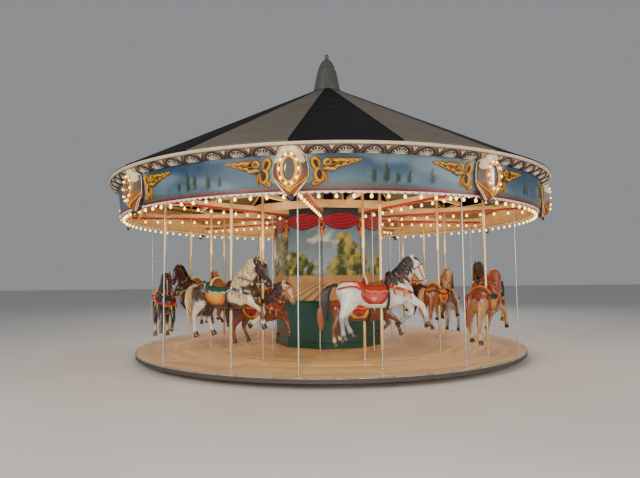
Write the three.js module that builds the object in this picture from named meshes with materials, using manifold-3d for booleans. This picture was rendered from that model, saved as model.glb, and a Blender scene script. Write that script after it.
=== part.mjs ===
// Fairground carousel with nine bays and eighteen galloping horses, in millimetres, +Z up.
// The origin is on the ground, on the axis of the centre pole. Angles are measured about that
// axis from -Y towards +X, so the first joint between two rounding boards is at firstSeam.
// The whole machine above the sill beams turns on the centre pole.

import * as THREE from "three";
import { mergeVertices } from "three/addons/utils/BufferGeometryUtils.js";
import Module from "manifold-3d";

const wasm = await Module();
wasm.setup();

const bays = 9;
const bayAngle = 360 / bays;
const firstSeam = -7.24;
const gap = 0.3; // between pieces that touch
const ringSides = 72;

// Ground and centre
const sillLength = 3800;
const sillWidth = 160;
const sillHeight = 66;
const poleRadius = 110;
const poleSides = 30;
const poleTop = 5560;
const footRadius = 260;
const footPlate = 16;
const footTaper = 150;
const hubClearance = 0.3;

// Platform
const deckTop = 164;
const deckThickness = 40;
const deckRadius = 3947;
const deckHole = 900;
const frameDepth = 40;
const edgeWidth = 46;
const joistWidth = 60;
const joistInner = 980;
const joistInset = 20; // from the edge of the deck to the joists' ends
const edgeInset = 2;
const innerRing = [960, 1010];
const hangerRadius = 11;
const outerHangerAt = 3800;
const innerHangerAt = 1534;
const guideRadius = 12;
const guideTop = 600;
const rodSides = 6;
const rodSink = 20; // how far a rod stands down into its joist
const rodRoom = 1.2; // round a rod where it passes the deck
const cutPast = 5; // how far a hole is cut past each face

// Centre drum, nine flat sides
const drumCorner = 1143;
const drumWall = 35;
const wainscotTop = 1100;
const drumTop = 2980;
const plinthHeight = 110;
const plinthStep = 18;
const plinthChamfer = 12;
const capLow = 40; // of the cap rail, under the top of the wainscot
const capFace = 28;

// Swags of cloth, one on each flat side of the drum, with a tail at each end
const swagTop = 2786;
const swagLow = 2480;
const swagTail = 2410;
const swagDepth = 34;
const swagShoulder = 120;
const tailWidth = 60;
const tailTop = 95;
const swagOverlap = 6;

// Sweeps, the nine radial beams overhead, level on top and rising a little underneath
const sweepInner = 240;
const sweepOuter = 4223;
const sweepWidth = 60;
const sweepLow = 2790;
const sweepRise = 60;
const sweepTop = 2940;
const hubOuter = 380;

// Ring beams notched over the sweeps, and on them the rails that guide the horse poles
const innerRingCorner = 1850;
const outerRingCorner = 4130;
const middleRingCorner = 2800;
const ringBeamWidth = 50;
const ringBeamLow = 2850;
const ringBeamTop = 2990;
const railWidth = 110;
const railHeight = 60;
const railClearance = 0.5;
const railHoleSides = 8;

// Rounding boards: the outline of the outer face, as [radius, height]
const boardFace = [
  [4250, 2735],
  [4254, 2815],
  [4290, 3255],
  [4345, 3266],
  [4415, 3306],
  [4445, 3344.7],
];
const boardThickness = 26;
const boardSteps = 8;
const corniceInner = 4290;
const corniceOuter = 4484;
const corniceLow = 3345;
const corniceHigh = 3385;
const corniceLip = 26;
const corniceChamfer = 14;

// Shields over the joints of the rounding boards. The outline is half of the front, from the
// tip up, as parts of the half width and of the height.
const shieldHalfWidth = 245;
const shieldLow = 2658;
const shieldHeight = 684;
const shieldBack = 4236;
const shieldFront = 4440;
const shieldBevel = 50;
const shieldCutLow = 2000; // of the body that cuts the shield's back to the boards' face
const shieldCutPast = 300;
const shieldOutline = [
  [0.2, 0],
  [0.98, 0.36],
  [1, 0.58],
  [0.88, 0.8],
  [0.58, 0.95],
  [0, 1],
];

// Canopy and its rafters
const canopyEdge = 3400;
const canopyRadius = 4484;
const canopyApexRadius = 300;
const canopyApex = 5650;
const canopyThickness = 18;
const gores = 18;
const rafterWidth = 50;
const rafterDepth = 70;
const crownInner = 180;
const crownDepth = 150;
const crownOverlap = 20;
const rafterFoot = 12;
const bearingDrop = 20; // from the top of the pole
const bearingDepth = 90;
const bearingOverlap = 30;

// Pinnacle, as [radius, height] above the canopy's apex ring
const pinnacleProfile = [
  [307, 5650.6],
  [300, 5685.6],
  [240, 5880],
  [205, 6170],
  [212, 6200],
  [190, 6225],
  [60, 6360],
  [24, 6440],
  [38, 6485],
  [24, 6525],
  [0, 6540],
];

// Horses
const outerRow = 3440;
const innerRow = 2550;
const hoofMid = 520; // height of the lowest hoof at the middle of the travel
const restOffset = 100;
const innerScale = 0.86;
const horsePoleRadius = 24;
const horsePoleSides = 8;
const poleClearance = 0.4; // round a guide rod, inside a horse pole
const horsePoleBottom = 364;
const horsePoleTop = 3250;
const boreLength = 425;

const slope = (canopyApex - canopyEdge) / (canopyRadius - canopyApexRadius);
const drop = canopyThickness / Math.cos(Math.atan(slope));
const rad = THREE.MathUtils.degToRad;

const paint = {
  iron: { color: 0x2b2b2e, roughness: 0.6, metalness: 0.6 },
  steel: { color: 0xb9b9b6, roughness: 0.35, metalness: 0.9 },
  planks: { color: 0xb98a55, roughness: 0.7, metalness: 0 },
  timber: { color: 0xc9a878, roughness: 0.65, metalness: 0 },
  green: { color: 0x1d5a4a, roughness: 0.5, metalness: 0 },
  sky: { color: 0x8fb0c8, roughness: 0.6, metalness: 0 },
  board: { color: 0x5f7f97, roughness: 0.5, metalness: 0 },
  cream: { color: 0xe6ddc6, roughness: 0.5, metalness: 0 },
  gold: { color: 0xd29a2c, roughness: 0.4, metalness: 0.3 },
  canvas: { color: 0x8d8877, roughness: 0.9, metalness: 0 },
  pewter: { color: 0x6d7074, roughness: 0.5, metalness: 0.5 },
  redCloth: { color: 0x9a1420, roughness: 0.85, metalness: 0 },
};
const coats = [0xe8e0d0, 0x8a4b2a, 0x5b2f1e, 0x2a2320, 0xb98a5a, 0x6e3a22, 0xcfc6b8, 0x402a20, 0x9c5a30];

const carousel = new THREE.Group();
carousel.name = "carousel";

function add(name, geometry, finish, parent = carousel) {
  const mesh = new THREE.Mesh(geometry, new THREE.MeshStandardMaterial(finish));
  mesh.name = name;
  parent.add(mesh);
  return mesh;
}

// A closed geometry as a solid that can be joined and cut.
function solid(geometry) {
  const bare = geometry.clone();
  bare.deleteAttribute("normal");
  bare.deleteAttribute("uv");
  const merged = mergeVertices(bare, 1e-3);
  return new wasm.Manifold(
    new wasm.Mesh({
      numProp: 3,
      vertProperties: new Float32Array(merged.attributes.position.array),
      triVerts: new Uint32Array(merged.index.array),
    }),
  );
}

function geometryOf(body) {
  const mesh = body.getMesh();
  const geometry = new THREE.BufferGeometry();
  geometry.setAttribute("position", new THREE.BufferAttribute(mesh.vertProperties, 3));
  geometry.setIndex(new THREE.BufferAttribute(mesh.triVerts, 1));
  geometry.computeVertexNormals();
  return geometry;
}

function join(bodies) {
  return bodies.reduce((whole, body) => whole.add(body));
}

// The outer skin of a joined body, without pockets left inside where its pieces meet.
function outerSkin(body) {
  return body.decompose().reduce((a, b) => (b.volume() > a.volume() ? b : a));
}

// A body turned about the centre pole by an angle in degrees.
function turned(body, angle) {
  return body.rotate([0, 0, angle]);
}

function aroundBays(makeAt, step = bayAngle, start = firstSeam) {
  const copies = Math.round(360 / step);
  return Array.from({ length: copies }, (_, k) => makeAt(start + k * step));
}

// A ring or solid of revolution about Z; the profile is [radius, height], anticlockwise.
function revolve(profile, sides, start = firstSeam) {
  const closed = profile[0][0] > 0 ? [...profile, profile[0]] : profile;
  const points = closed.map(([r, z]) => new THREE.Vector2(r, z));
  return new THREE.LatheGeometry(points, sides, rad(start), Math.PI * 2).rotateX(Math.PI / 2);
}

function ringProfile(inner, outer, low, high) {
  return [[inner, low], [outer, low], [outer, high], [inner, high]];
}

function block(length, width, height, x, y, z) {
  return new THREE.BoxGeometry(length, width, height).translate(x, y, z);
}

// An outline of [radius, height] points made into a beam that runs outwards along -Y.
function outwards(outline, width) {
  const side = new THREE.Shape(outline.map(([r, z]) => new THREE.Vector2(r, z)));
  const beam = new THREE.ExtrudeGeometry(side, { depth: width, bevelEnabled: false });
  return beam.translate(0, 0, -width / 2).rotateX(Math.PI / 2).rotateZ(-Math.PI / 2);
}

function radialBeam(from, to, width, height, low) {
  return outwards([[from, low], [to, low], [to, low + height], [from, low + height]], width);
}

// A sweep: its top is level and its underside rises outwards.
function sweepShape(from, to, width, low, high) {
  return outwards([[from, low], [to, low + sweepRise], [to, high], [from, high]], width);
}

function upright(radius, low, high, sides, x = 0, y = 0) {
  const rod = new THREE.CylinderGeometry(radius, radius, high - low, sides);
  return rod.rotateX(Math.PI / 2).translate(x, y, (low + high) / 2);
}

// Rings of points joined into a closed skin; each ring is anticlockwise about the path.
function skin(rings, cap) {
  const count = rings[0].length;
  const position = rings.flat().flatMap((p) => [p.x, p.y, p.z]);
  const index = [];
  for (let i = 0; i < rings.length - 1; i++) {
    for (let j = 0; j < count; j++) {
      const a = i * count + j;
      const b = i * count + ((j + 1) % count);
      index.push(a, b, b + count, a, b + count, a + count);
    }
  }
  const last = (rings.length - 1) * count;
  for (const [a, b, c] of cap) {
    index.push(c, b, a);
    index.push(last + a, last + b, last + c);
  }
  const geometry = new THREE.BufferGeometry();
  geometry.setAttribute("position", new THREE.Float32BufferAttribute(position, 3));
  geometry.setIndex(index);
  return geometry;
}

// Oval sections along a path: [x, z, half height, half width, slant, y], skinned in order.
function ovalLoft(sections, sides) {
  const rings = sections.map(([x, z, tall, wide, slant = 0, y = 0]) =>
    Array.from({ length: sides }, (_, j) => {
      const turn = ((j + 0.5) / sides) * Math.PI * 2;
      const up = Math.sin(turn) * tall;
      return new THREE.Vector3(
        x - up * Math.sin(rad(slant)),
        y + Math.cos(turn) * wide,
        z + up * Math.cos(rad(slant)),
      );
    }),
  );
  const fan = Array.from({ length: sides - 2 }, (_, j) => [0, j + 1, j + 2]);
  return skin(rings, fan);
}

// Triangles over an outline of [x, y] points, wound the same way as the outline.
function capOf(outline) {
  const flat = outline.map(([x, y]) => new THREE.Vector2(x, y));
  const cap = THREE.ShapeUtils.triangulateShape(flat, []);
  const way = Math.sign(THREE.ShapeUtils.area(flat));
  return cap.map((face) => {
    const same = Math.sign(THREE.ShapeUtils.area(face.map((i) => flat[i]))) === way;
    return same ? face : [...face].reverse();
  });
}

// The stationary beams on the ground, crossed under the centre pole.
function makeSills() {
  const beam = solid(block(sillLength, sillWidth, sillHeight, 0, 0, sillHeight / 2));
  const crossed = [0, 45, 90, 135].map((angle) => turned(beam, firstSeam + angle));
  return geometryOf(join(crossed));
}

function makeCentrePole() {
  const foot = sillHeight + gap;
  return revolve(
    [
      [0, foot], [footRadius, foot], [footRadius, foot + footPlate],
      [poleRadius, foot + footTaper], [poleRadius, poleTop], [0, poleTop],
    ],
    poleSides,
  );
}

// Joists and edge ring under the deck, with the hanger and guide rods that stand on them.
function makePlatformFrame() {
  const high = deckTop - deckThickness - gap;
  const low = high - frameDepth;
  const outline = ringProfile(deckRadius - edgeWidth, deckRadius - edgeInset, low, high);
  const edge = solid(revolve(outline, ringSides / 2));
  const inner = solid(revolve(ringProfile(...innerRing, low, high), 2 * bays));
  const joist = solid(radialBeam(joistInner, deckRadius - joistInset, joistWidth, frameDepth, low));
  const joists = aroundBays((angle) => turned(joist, angle), bayAngle / 2);
  const hangers = [outerHangerAt, innerHangerAt].map((at) =>
    solid(upright(hangerRadius, high - rodSink, sweepUnderside(at) - gap, rodSides, 0, -at)),
  );
  const guides = [outerRow, innerRow].map((at) =>
    solid(upright(guideRadius, high - rodSink, guideTop, rodSides, 0, -at)),
  );
  const rods = [
    ...aroundBays((angle) => turned(join(hangers), angle)),
    ...aroundBays((angle) => turned(join(guides), angle), bayAngle, firstSeam + bayAngle / 2),
  ];
  return geometryOf(join([edge, inner, ...joists, ...rods]));
}

function sweepUnderside(radius) {
  return sweepLow + (sweepRise * (radius - sweepInner)) / (sweepOuter - sweepInner);
}

function makeDeck() {
  const low = deckTop - deckThickness;
  const boards = solid(revolve(ringProfile(deckHole, deckRadius, low, deckTop), ringSides));
  const hole = (radius, at) =>
    solid(upright(radius + rodRoom, low - cutPast, deckTop + cutPast, rodSides, 0, -at));
  const hangerHoles = join([hole(hangerRadius, outerHangerAt), hole(hangerRadius, innerHangerAt)]);
  const guideHoles = join([hole(guideRadius, outerRow), hole(guideRadius, innerRow)]);
  const holes = [
    ...aroundBays((angle) => turned(hangerHoles, angle)),
    ...aroundBays((angle) => turned(guideHoles, angle), bayAngle, firstSeam + bayAngle / 2),
  ];
  return geometryOf(boards.subtract(join(holes)));
}

function makeWainscot() {
  const low = deckTop + gap;
  const inner = drumCorner - drumWall;
  return revolve(
    [
      [inner, low], [drumCorner + plinthStep, low], [drumCorner + plinthStep, low + plinthHeight],
      [drumCorner, low + plinthHeight + plinthChamfer], [drumCorner, wainscotTop - capLow],
      [drumCorner + plinthStep, wainscotTop - capFace], [drumCorner + plinthStep, wainscotTop],
      [inner, wainscotTop],
    ],
    bays,
  );
}

// The room that a sweep takes in a piece which is notched over it.
function sweepNotch() {
  const notch = solid(
    sweepShape(sweepInner, sweepOuter, sweepWidth + 2 * gap, sweepLow - gap, sweepTop + gap),
  );
  return join(aroundBays((angle) => turned(notch, angle)));
}

// The painted panels of the drum, notched at the corners where the sweeps pass through.
function makePictureDrum() {
  const walls = revolve(ringProfile(drumCorner - drumWall, drumCorner, wainscotTop + gap, drumTop), bays);
  return geometryOf(solid(walls).subtract(sweepNotch()));
}

// One swag of cloth hung between two corners of the drum, with a tail at each end.
function swagOutline(halfWidth) {
  const shoulder = swagTop - swagShoulder;
  const outline = new THREE.Shape();
  outline.moveTo(-halfWidth, swagTop);
  outline.lineTo(-halfWidth, swagTail);
  outline.lineTo(-halfWidth + tailWidth, swagTail);
  outline.lineTo(-halfWidth + tailTop, shoulder);
  outline.quadraticCurveTo(0, 2 * swagLow - shoulder, halfWidth - tailTop, shoulder);
  outline.lineTo(halfWidth - tailWidth, swagTail);
  outline.lineTo(halfWidth, swagTail);
  outline.lineTo(halfWidth, swagTop);
  return outline;
}

function makeSwags() {
  const flat = Math.cos(rad(bayAngle / 2));
  const halfWidth = (drumCorner + gap * 2) * Math.sin(rad(bayAngle / 2)) + swagOverlap;
  const swag = new THREE.ExtrudeGeometry(swagOutline(halfWidth), {
    depth: swagDepth,
    bevelEnabled: false,
    curveSegments: 6,
  });
  const hung = solid(swag.rotateX(Math.PI / 2).translate(0, -(drumCorner + gap) * flat - gap, 0));
  const start = firstSeam + bayAngle / 2;
  return geometryOf(join(aroundBays((angle) => turned(hung, angle), bayAngle, start)));
}

// The hub round the centre pole with the nine sweeps.
function makeSweeps() {
  const hubInner = (poleRadius + hubClearance) / Math.cos(Math.PI / poleSides);
  const hub = solid(revolve(ringProfile(hubInner, hubOuter, sweepLow, sweepTop), poleSides));
  const sweep = solid(sweepShape(sweepInner, sweepOuter, sweepWidth, sweepLow, sweepTop));
  return geometryOf(join([hub, ...aroundBays((angle) => turned(sweep, angle))]));
}

function makeRingBeam(corner) {
  const beam = solid(revolve(ringProfile(corner - ringBeamWidth, corner, ringBeamLow, ringBeamTop), bays));
  return geometryOf(beam.subtract(sweepNotch()));
}

// Nine drilled rails that lie on the ring beams at the middle of the bays, joined by a ring
// of the same height that passes clear over the sweeps.
function makePoleRails() {
  const low = ringBeamTop + gap;
  const high = low + railHeight;
  const corner = middleRingCorner;
  const ring = solid(revolve(ringProfile(corner - ringBeamWidth, corner, low, high), bays));
  const flat = Math.cos(rad(bayAngle / 2));
  const from = (innerRingCorner - ringBeamWidth) * flat;
  const rail = solid(radialBeam(from, outerRingCorner * flat, railWidth, railHeight, low));
  const holeRadius = (horsePoleRadius + railClearance) / Math.cos(Math.PI / railHoleSides);
  const holes = [outerRow, innerRow].map((at) =>
    solid(upright(holeRadius, low - cutPast, high + cutPast, railHoleSides, 0, -at)),
  );
  const drilled = rail.subtract(join(holes));
  const start = firstSeam + bayAngle / 2;
  return geometryOf(join([ring, ...aroundBays((angle) => turned(drilled, angle), bayAngle, start)]));
}

function boardProfile() {
  const back = boardFace.map(([r, z]) => [r - boardThickness, z]).reverse();
  return [...boardFace, ...back];
}

// One rounding board, curved in plan, between two seams.
function makeRoundingBoard(from) {
  const profile = boardProfile().reverse();
  const half = gap / 2 / (boardFace[0][0] - boardThickness); // of the gap at the seam, in radians
  const rings = Array.from({ length: boardSteps + 1 }, (_, i) => {
    let angle = rad(from + (bayAngle * i) / boardSteps);
    if (i === 0) angle += half;
    if (i === boardSteps) angle -= half;
    return profile.map(([r, z]) => new THREE.Vector3(r * Math.sin(angle), -r * Math.cos(angle), z));
  });
  return skin(rings, capOf(profile));
}

// A deep shield with a bevelled front, cut behind to the face of the boards.
function makeShield() {
  const right = shieldOutline.map(([x, y]) => new THREE.Vector2(x * shieldHalfWidth, y * shieldHeight));
  const left = right.slice(0, -1).map((p) => new THREE.Vector2(-p.x, p.y)).reverse();
  const depth = shieldFront - shieldBack - 2 * shieldBevel;
  const plate = new THREE.ExtrudeGeometry(new THREE.Shape([...right, ...left]), {
    depth,
    bevelThickness: shieldBevel,
    bevelSize: shieldBevel,
    bevelOffset: -shieldBevel,
    bevelSegments: 1,
  });
  const out = plate.translate(0, 0, shieldBack + shieldBevel).rotateX(Math.PI / 2);
  const placed = solid(out.translate(0, 0, shieldLow));
  const face = boardFace.map(([r, z]) => [r + gap * 1.5, z - gap * 2]);
  const reach = canopyRadius + shieldCutPast;
  const above = canopyEdge + shieldCutPast;
  const behind = solid(
    revolve(
      [
        [0, shieldCutLow], [face[0][0], shieldCutLow], ...face,
        [reach, corniceLow - gap * 3], [reach, above], [0, above],
      ],
      ringSides,
      0,
    ),
  );
  return placed.subtract(behind);
}

function makeCornice() {
  return revolve(
    [
      [corniceInner, corniceLow], [corniceOuter - corniceLip, corniceLow],
      [corniceOuter, corniceLow + corniceChamfer],
      [corniceOuter, corniceHigh], [corniceInner, corniceHigh],
    ],
    ringSides,
  );
}

function canopyHeight(radius) {
  return canopyEdge + slope * (canopyRadius - radius);
}

function makeCanopy() {
  const low = corniceHigh + gap * 2;
  const turnIn = canopyRadius - (low - (canopyEdge - drop)) / slope;
  return revolve(
    [
      [turnIn, low], [canopyRadius, low], [canopyRadius, canopyEdge],
      [canopyApexRadius, canopyApex], [canopyApexRadius, canopyApex - drop],
    ],
    gores * 2,
  );
}

// Rafters under the seams of the canopy, joined by a crown ring round the top of the pole.
function makeRafters() {
  const half = rafterWidth / 2;
  const seamDip = slope * half * Math.tan(Math.PI / (2 * gores)); // the canopy falls away beside its seam
  const top = (r) => canopyHeight(r) - drop - seamDip - gap;
  const foot = corniceHigh + gap;
  const outer = canopyRadius - (foot + rafterFoot - top(canopyRadius)) / slope;
  const inner = canopyApexRadius - crownOverlap;
  const rafter = solid(
    outwards(
      [
        [inner, top(inner) - rafterDepth], [outer - rafterDepth / slope, foot], [outer, foot],
        [outer, top(outer)], [inner, top(inner)],
      ],
      rafterWidth,
    ),
  );
  const crownTop = top(inner);
  const crown = solid(
    revolve(ringProfile(crownInner, canopyApexRadius, crownTop - crownDepth, crownTop), gores),
  );
  const bearingHigh = poleTop - bearingDrop;
  const bearingInner = (poleRadius + hubClearance) / Math.cos(Math.PI / poleSides);
  const bearingOuter = crownInner + bearingOverlap;
  const bearing = solid(
    revolve(ringProfile(bearingInner, bearingOuter, bearingHigh - bearingDepth, bearingHigh), poleSides),
  );
  const rafters = aroundBays((angle) => turned(rafter, angle), 360 / gores);
  return geometryOf(join([crown, bearing, ...rafters]));
}

function makePinnacle() {
  return revolve([[0, pinnacleProfile[0][1]], ...pinnacleProfile], gores);
}

// Sections of the horse: [along, height, half height, half width, slant, side]. The slant is
// the angle above level, in degrees, at which the limb passes through the section.
const horseTorso = [
  [-705, 700, 80, 55],
  [-560, 690, 185, 165],
  [-120, 655, 185, 178],
  [260, 695, 212, 178],
  [475, 720, 95, 80],
];
const horseNeck = [
  [310, 800, 175, 95, 42],
  [490, 1050, 115, 60, 52],
  [530, 1160, 75, 48, 65],
];
const horseHead = [
  [505, 1150, 80, 50, -30],
  [600, 1090, 90, 58, -44],
  [785, 885, 42, 36, -50],
];
const horseTail = [
  [-670, 790, 40, 36, 190],
  [-860, 680, 62, 48, 235],
  [-860, 280, 18, 16, 275],
];
const horseLegs = [
  [[360, 660, 95, 62, -40, -105], [590, 520, 46, 40, -50, -110], [690, 240, 42, 36, -70, -112]],
  [[350, 650, 100, 62, -55, 105], [540, 410, 44, 40, -92, 108], [315, 195, 42, 36, -138, 108]],
  [[-520, 640, 140, 75, -95, -98], [-640, 330, 44, 36, -98, -108], [-600, 0, 42, 38, -84, -110]],
  [[-510, 640, 140, 75, -85, 98], [-540, 310, 44, 36, -86, 108], [-410, 20, 42, 38, -66, 110]],
];
const horseSaddle = [
  [-330, 860, 60, 90],
  [20, 860, 55, 100],
];

// A galloping horse that faces +X, its lowest hoof at height 0 and the pole through its withers.
function makeHorseBody() {
  const pieces = [
    ovalLoft(horseTorso, 8),
    ovalLoft(horseNeck, 6),
    ovalLoft(horseHead, 6),
    ovalLoft(horseTail, 4),
    ovalLoft(horseSaddle, 4),
    ...horseLegs.map((leg) => ovalLoft(leg, 4)),
  ];
  return outerSkin(join(pieces.map(solid)));
}

const horseBody = makeHorseBody();

function makeHorse(scale, lift) {
  const body = horseBody.scale([scale, scale, scale]).translate([0, 0, hoofMid + lift]);
  const foot = horsePoleBottom + lift;
  const pole = solid(upright(horsePoleRadius, foot, horsePoleTop + lift, horsePoleSides));
  const boreRadius = (guideRadius + poleClearance) / Math.cos(Math.PI / horsePoleSides);
  const bore = solid(upright(boreRadius, foot - cutPast, foot + boreLength, horsePoleSides));
  return geometryOf(body.add(pole).subtract(bore));
}

function placeHorses() {
  const rows = [
    { name: "horse_outer_", radius: outerRow, scale: 1, phase: 0 },
    { name: "horse_inner_", radius: innerRow, scale: innerScale, phase: 1 },
  ];
  for (const row of rows) {
    for (let k = 0; k < bays; k++) {
      const up = (k + row.phase) % 2 === 0 ? 1 : -1;
      const angle = rad(firstSeam + bayAngle * (k + 0.5));
      const finish = { color: coats[(k * 4 + row.phase * 3) % coats.length], roughness: 0.4, metalness: 0 };
      const horse = add(row.name + (k + 1), makeHorse(row.scale, up * restOffset), finish);
      horse.position.set(row.radius * Math.sin(angle), -row.radius * Math.cos(angle), 0);
      horse.rotation.z = angle;
    }
  }
}

add("base_frame", makeSills(), paint.iron);
add("centre_pole", makeCentrePole(), paint.iron);
add("platform_frame", makePlatformFrame(), paint.steel);
add("deck", makeDeck(), paint.planks);
add("wainscot", makeWainscot(), paint.green);
add("picture_drum", makePictureDrum(), paint.sky);
add("swag_valance", makeSwags(), paint.redCloth);
add("sweeps", makeSweeps(), paint.timber);
add("ring_beam_inner", makeRingBeam(innerRingCorner), paint.timber);
add("ring_beam_outer", makeRingBeam(outerRingCorner), paint.timber);
add("pole_rails", makePoleRails(), paint.timber);
add("rafters", makeRafters(), paint.timber);
add("cornice", makeCornice(), paint.cream);
add("canopy", makeCanopy(), paint.canvas);
add("pinnacle", makePinnacle(), paint.pewter);
const shieldBody = makeShield();
for (let k = 0; k < bays; k++) {
  const angle = firstSeam + k * bayAngle;
  add("rounding_board_" + (k + 1), makeRoundingBoard(angle), paint.board);
  add("shield_" + (k + 1), geometryOf(turned(shieldBody, angle)), paint.gold);
}
placeHorses();

export default carousel;
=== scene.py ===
import math
import bmesh
import bpy
import numpy as np
from mathutils import Matrix, Vector


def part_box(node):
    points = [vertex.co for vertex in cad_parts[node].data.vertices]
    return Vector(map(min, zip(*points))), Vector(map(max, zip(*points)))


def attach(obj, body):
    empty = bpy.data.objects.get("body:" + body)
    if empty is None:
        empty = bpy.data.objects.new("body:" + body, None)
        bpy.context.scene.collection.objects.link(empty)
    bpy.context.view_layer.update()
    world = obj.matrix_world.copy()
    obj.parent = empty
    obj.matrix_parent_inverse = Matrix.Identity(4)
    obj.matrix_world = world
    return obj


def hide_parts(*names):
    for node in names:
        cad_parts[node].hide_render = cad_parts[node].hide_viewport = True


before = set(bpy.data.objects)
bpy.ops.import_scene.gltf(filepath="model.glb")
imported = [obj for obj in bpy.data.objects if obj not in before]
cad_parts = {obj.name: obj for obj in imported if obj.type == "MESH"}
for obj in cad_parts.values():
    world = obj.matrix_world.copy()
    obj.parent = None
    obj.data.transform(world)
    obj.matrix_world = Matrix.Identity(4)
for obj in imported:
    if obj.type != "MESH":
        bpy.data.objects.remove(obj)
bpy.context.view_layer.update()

machine = {
    "bays": 9,
    "firstSeam": -7.24,      # the joint between two rounding boards that faces the camera best
    "deckRadius": 3.947,
    "deckTop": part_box("deck")[1].z,
    "ironTop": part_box("deck")[1].z - 0.0403,             # of the joists under the planks
    "outerRow": 3.44,        # radius of the outer horse poles
    "innerRow": 2.55,
    "outerHanger": 3.80,
    "innerHanger": 1.534,
    "drumCorner": 1.143,
    "sweepRoot": 0.240,      # where a sweep's underside begins, and how it rises from there
    "sweepLow": 2.790,
    "sweepRise": 0.060 / 3.983,
}
bayAngle = 360 / machine["bays"]
seams = machine["firstSeam"] + bayAngle * np.arange(machine["bays"])
bayCentres = seams + bayAngle / 2


# Points of a surface

def polar(radius, angle, height):
    # radius times sine and cosine of the angle, with the height kept as it is
    turn = np.radians(angle)
    return np.stack(np.broadcast_arrays(radius * np.sin(turn), -radius * np.cos(turn), height), -1)


def underSweep(radius):
    # the underside of a sweep rises in a straight line from its root
    return machine["sweepLow"] + machine["sweepRise"] * (radius - machine["sweepRoot"])


def drumSide(inset=0.0):
    # half the width of one of the drum's sides, less an inset, and the side's distance from the pole
    half = math.radians(bayAngle / 2)
    return machine["drumCorner"] * math.sin(half) - inset, machine["drumCorner"] * math.cos(half)


def unit(vectors):
    # each vector over its own length
    return vectors / np.maximum(np.linalg.norm(vectors, axis=-1, keepdims=True), 1e-12)


def smoothRows(rows, count):
    # Catmull-Rom: between two rows the blend is a cubic whose slopes are half the step across each
    rows = np.asarray(rows, float)
    padded = np.vstack([2 * rows[0] - rows[1], rows, 2 * rows[-1] - rows[-2]])
    place = np.linspace(0, len(rows) - 1, count)
    cell = np.minimum(place.astype(int), len(rows) - 2)
    t = (place - cell)[:, None]
    a, b, c, d = (padded[cell + k] for k in range(4))
    return 0.5 * (2 * b + (c - a) * t + (2 * a - 5 * b + 4 * c - d) * t**2 + (3 * b - a - 3 * c + d) * t**3)


def noise3(points, scale, seed=0):
    # a smooth random field: the mean of sines along six random directions
    rng = np.random.default_rng(seed)
    ways = unit(rng.normal(size=(6, 3))) * scale * rng.uniform(0.7, 1.6, (6, 1))
    return np.sin(points @ ways.T + rng.uniform(0, 6.283, 6)).mean(-1)


def gridPart(points, closeRows=False, closeCols=False, slot=0, tint=None, uv=None):
    # quads between neighbours of a grid of points, numbered row by row
    rows, cols = points.shape[:2]
    r, c = np.meshgrid(
        np.arange(rows if closeRows else rows - 1), np.arange(cols if closeCols else cols - 1), indexing="ij"
    )
    r2, c2 = (r + 1) % rows, (c + 1) % cols
    quads = np.stack([r * cols + c, r * cols + c2, r2 * cols + c2, r2 * cols + c], -1).reshape(-1, 4)
    flat = points.reshape(-1, 3)
    slots = np.broadcast_to(np.asarray(slot), r.shape).ravel() if np.ndim(slot) else np.full(len(quads), slot)
    tint = np.array(np.broadcast_to(1.0 if tint is None else tint, points.shape), float)
    return {
        "points": flat,
        "quads": quads,
        "slots": slots,
        "tint": tint.reshape(-1, 3),
        "uv": np.zeros((len(flat), 2)) if uv is None else np.asarray(uv).reshape(-1, 2),
    }


def carry(path, section, normal, tint=None, closed=False, scale=None):
    # Each point is the path point, plus the section's first number along the side and its second
    # along the up direction; side is normal cross tangent. Ends are closed on the path's end points.
    path = np.asarray(path, float)
    section = np.asarray(section, float)
    if closed:
        tangent = unit(np.roll(path, -1, 0) - np.roll(path, 1, 0))
    else:
        tangent = unit(np.gradient(path, axis=0))
    normal = np.broadcast_to(np.asarray(normal, float), path.shape)
    side = unit(np.cross(normal, tangent))
    up = np.cross(tangent, side)
    if section.ndim == 2:
        section = np.broadcast_to(section, (len(path),) + section.shape)
    if scale is not None:
        section = section * np.asarray(scale, float).reshape(len(path), 1, -1)
    rings = path[:, None] + section[..., :1] * side[:, None] + section[..., 1:] * up[:, None]
    if not closed:
        middle = rings.mean(1, keepdims=True).repeat(rings.shape[1], 1)
        rings = np.concatenate([middle[:1], rings, middle[-1:]])
    return gridPart(rings, closeRows=closed, closeCols=True, tint=tint)


def ovalSection(wide, high, sides=8):
    # cosine times one radius, sine times the other
    turn = np.linspace(0, 2 * np.pi, sides, endpoint=False)
    return np.stack([np.cos(turn) * wide, np.sin(turn) * high], -1)


def barSection(wide, high, chamfer):
    # a rectangle with cut corners, anticlockwise
    w, h, c = wide / 2, high / 2, chamfer
    first = np.array([(w, c - h), (w, h - c), (w - c, h), (c - w, h)])
    return np.concatenate([first, -first])


def spin(profile, sides, closeProfile=False):
    # a profile of radius and height turned about the centre pole
    profile = np.asarray(profile, float)
    angles = np.linspace(0, 360, sides, endpoint=False)
    points = polar(profile[:, :1], angles[None], profile[:, 1:])
    return gridPart(points, closeRows=closeProfile, closeCols=True)


def shaft(low, high, radius, sides, count):
    # a round bar up the local z axis
    steps = np.linspace(low, high, count)
    return carry(steps[:, None] * (0, 0, 1), ovalSection(radius, radius, sides), (1, 0, 0))


def shell(outer, inner, tint):
    # a thick sheet: an outer grid and an inner one, joined round the rim
    rows = np.concatenate([outer, inner[::-1]])
    tints = np.concatenate([tint, tint[::-1]])
    body = gridPart(rows, closeRows=True, tint=tints)
    ends = [gridPart(np.stack([outer[:, k], inner[:, k]], 1), tint=tint[:, [k, k]]) for k in (0, -1)]
    return [body] + ends


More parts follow.
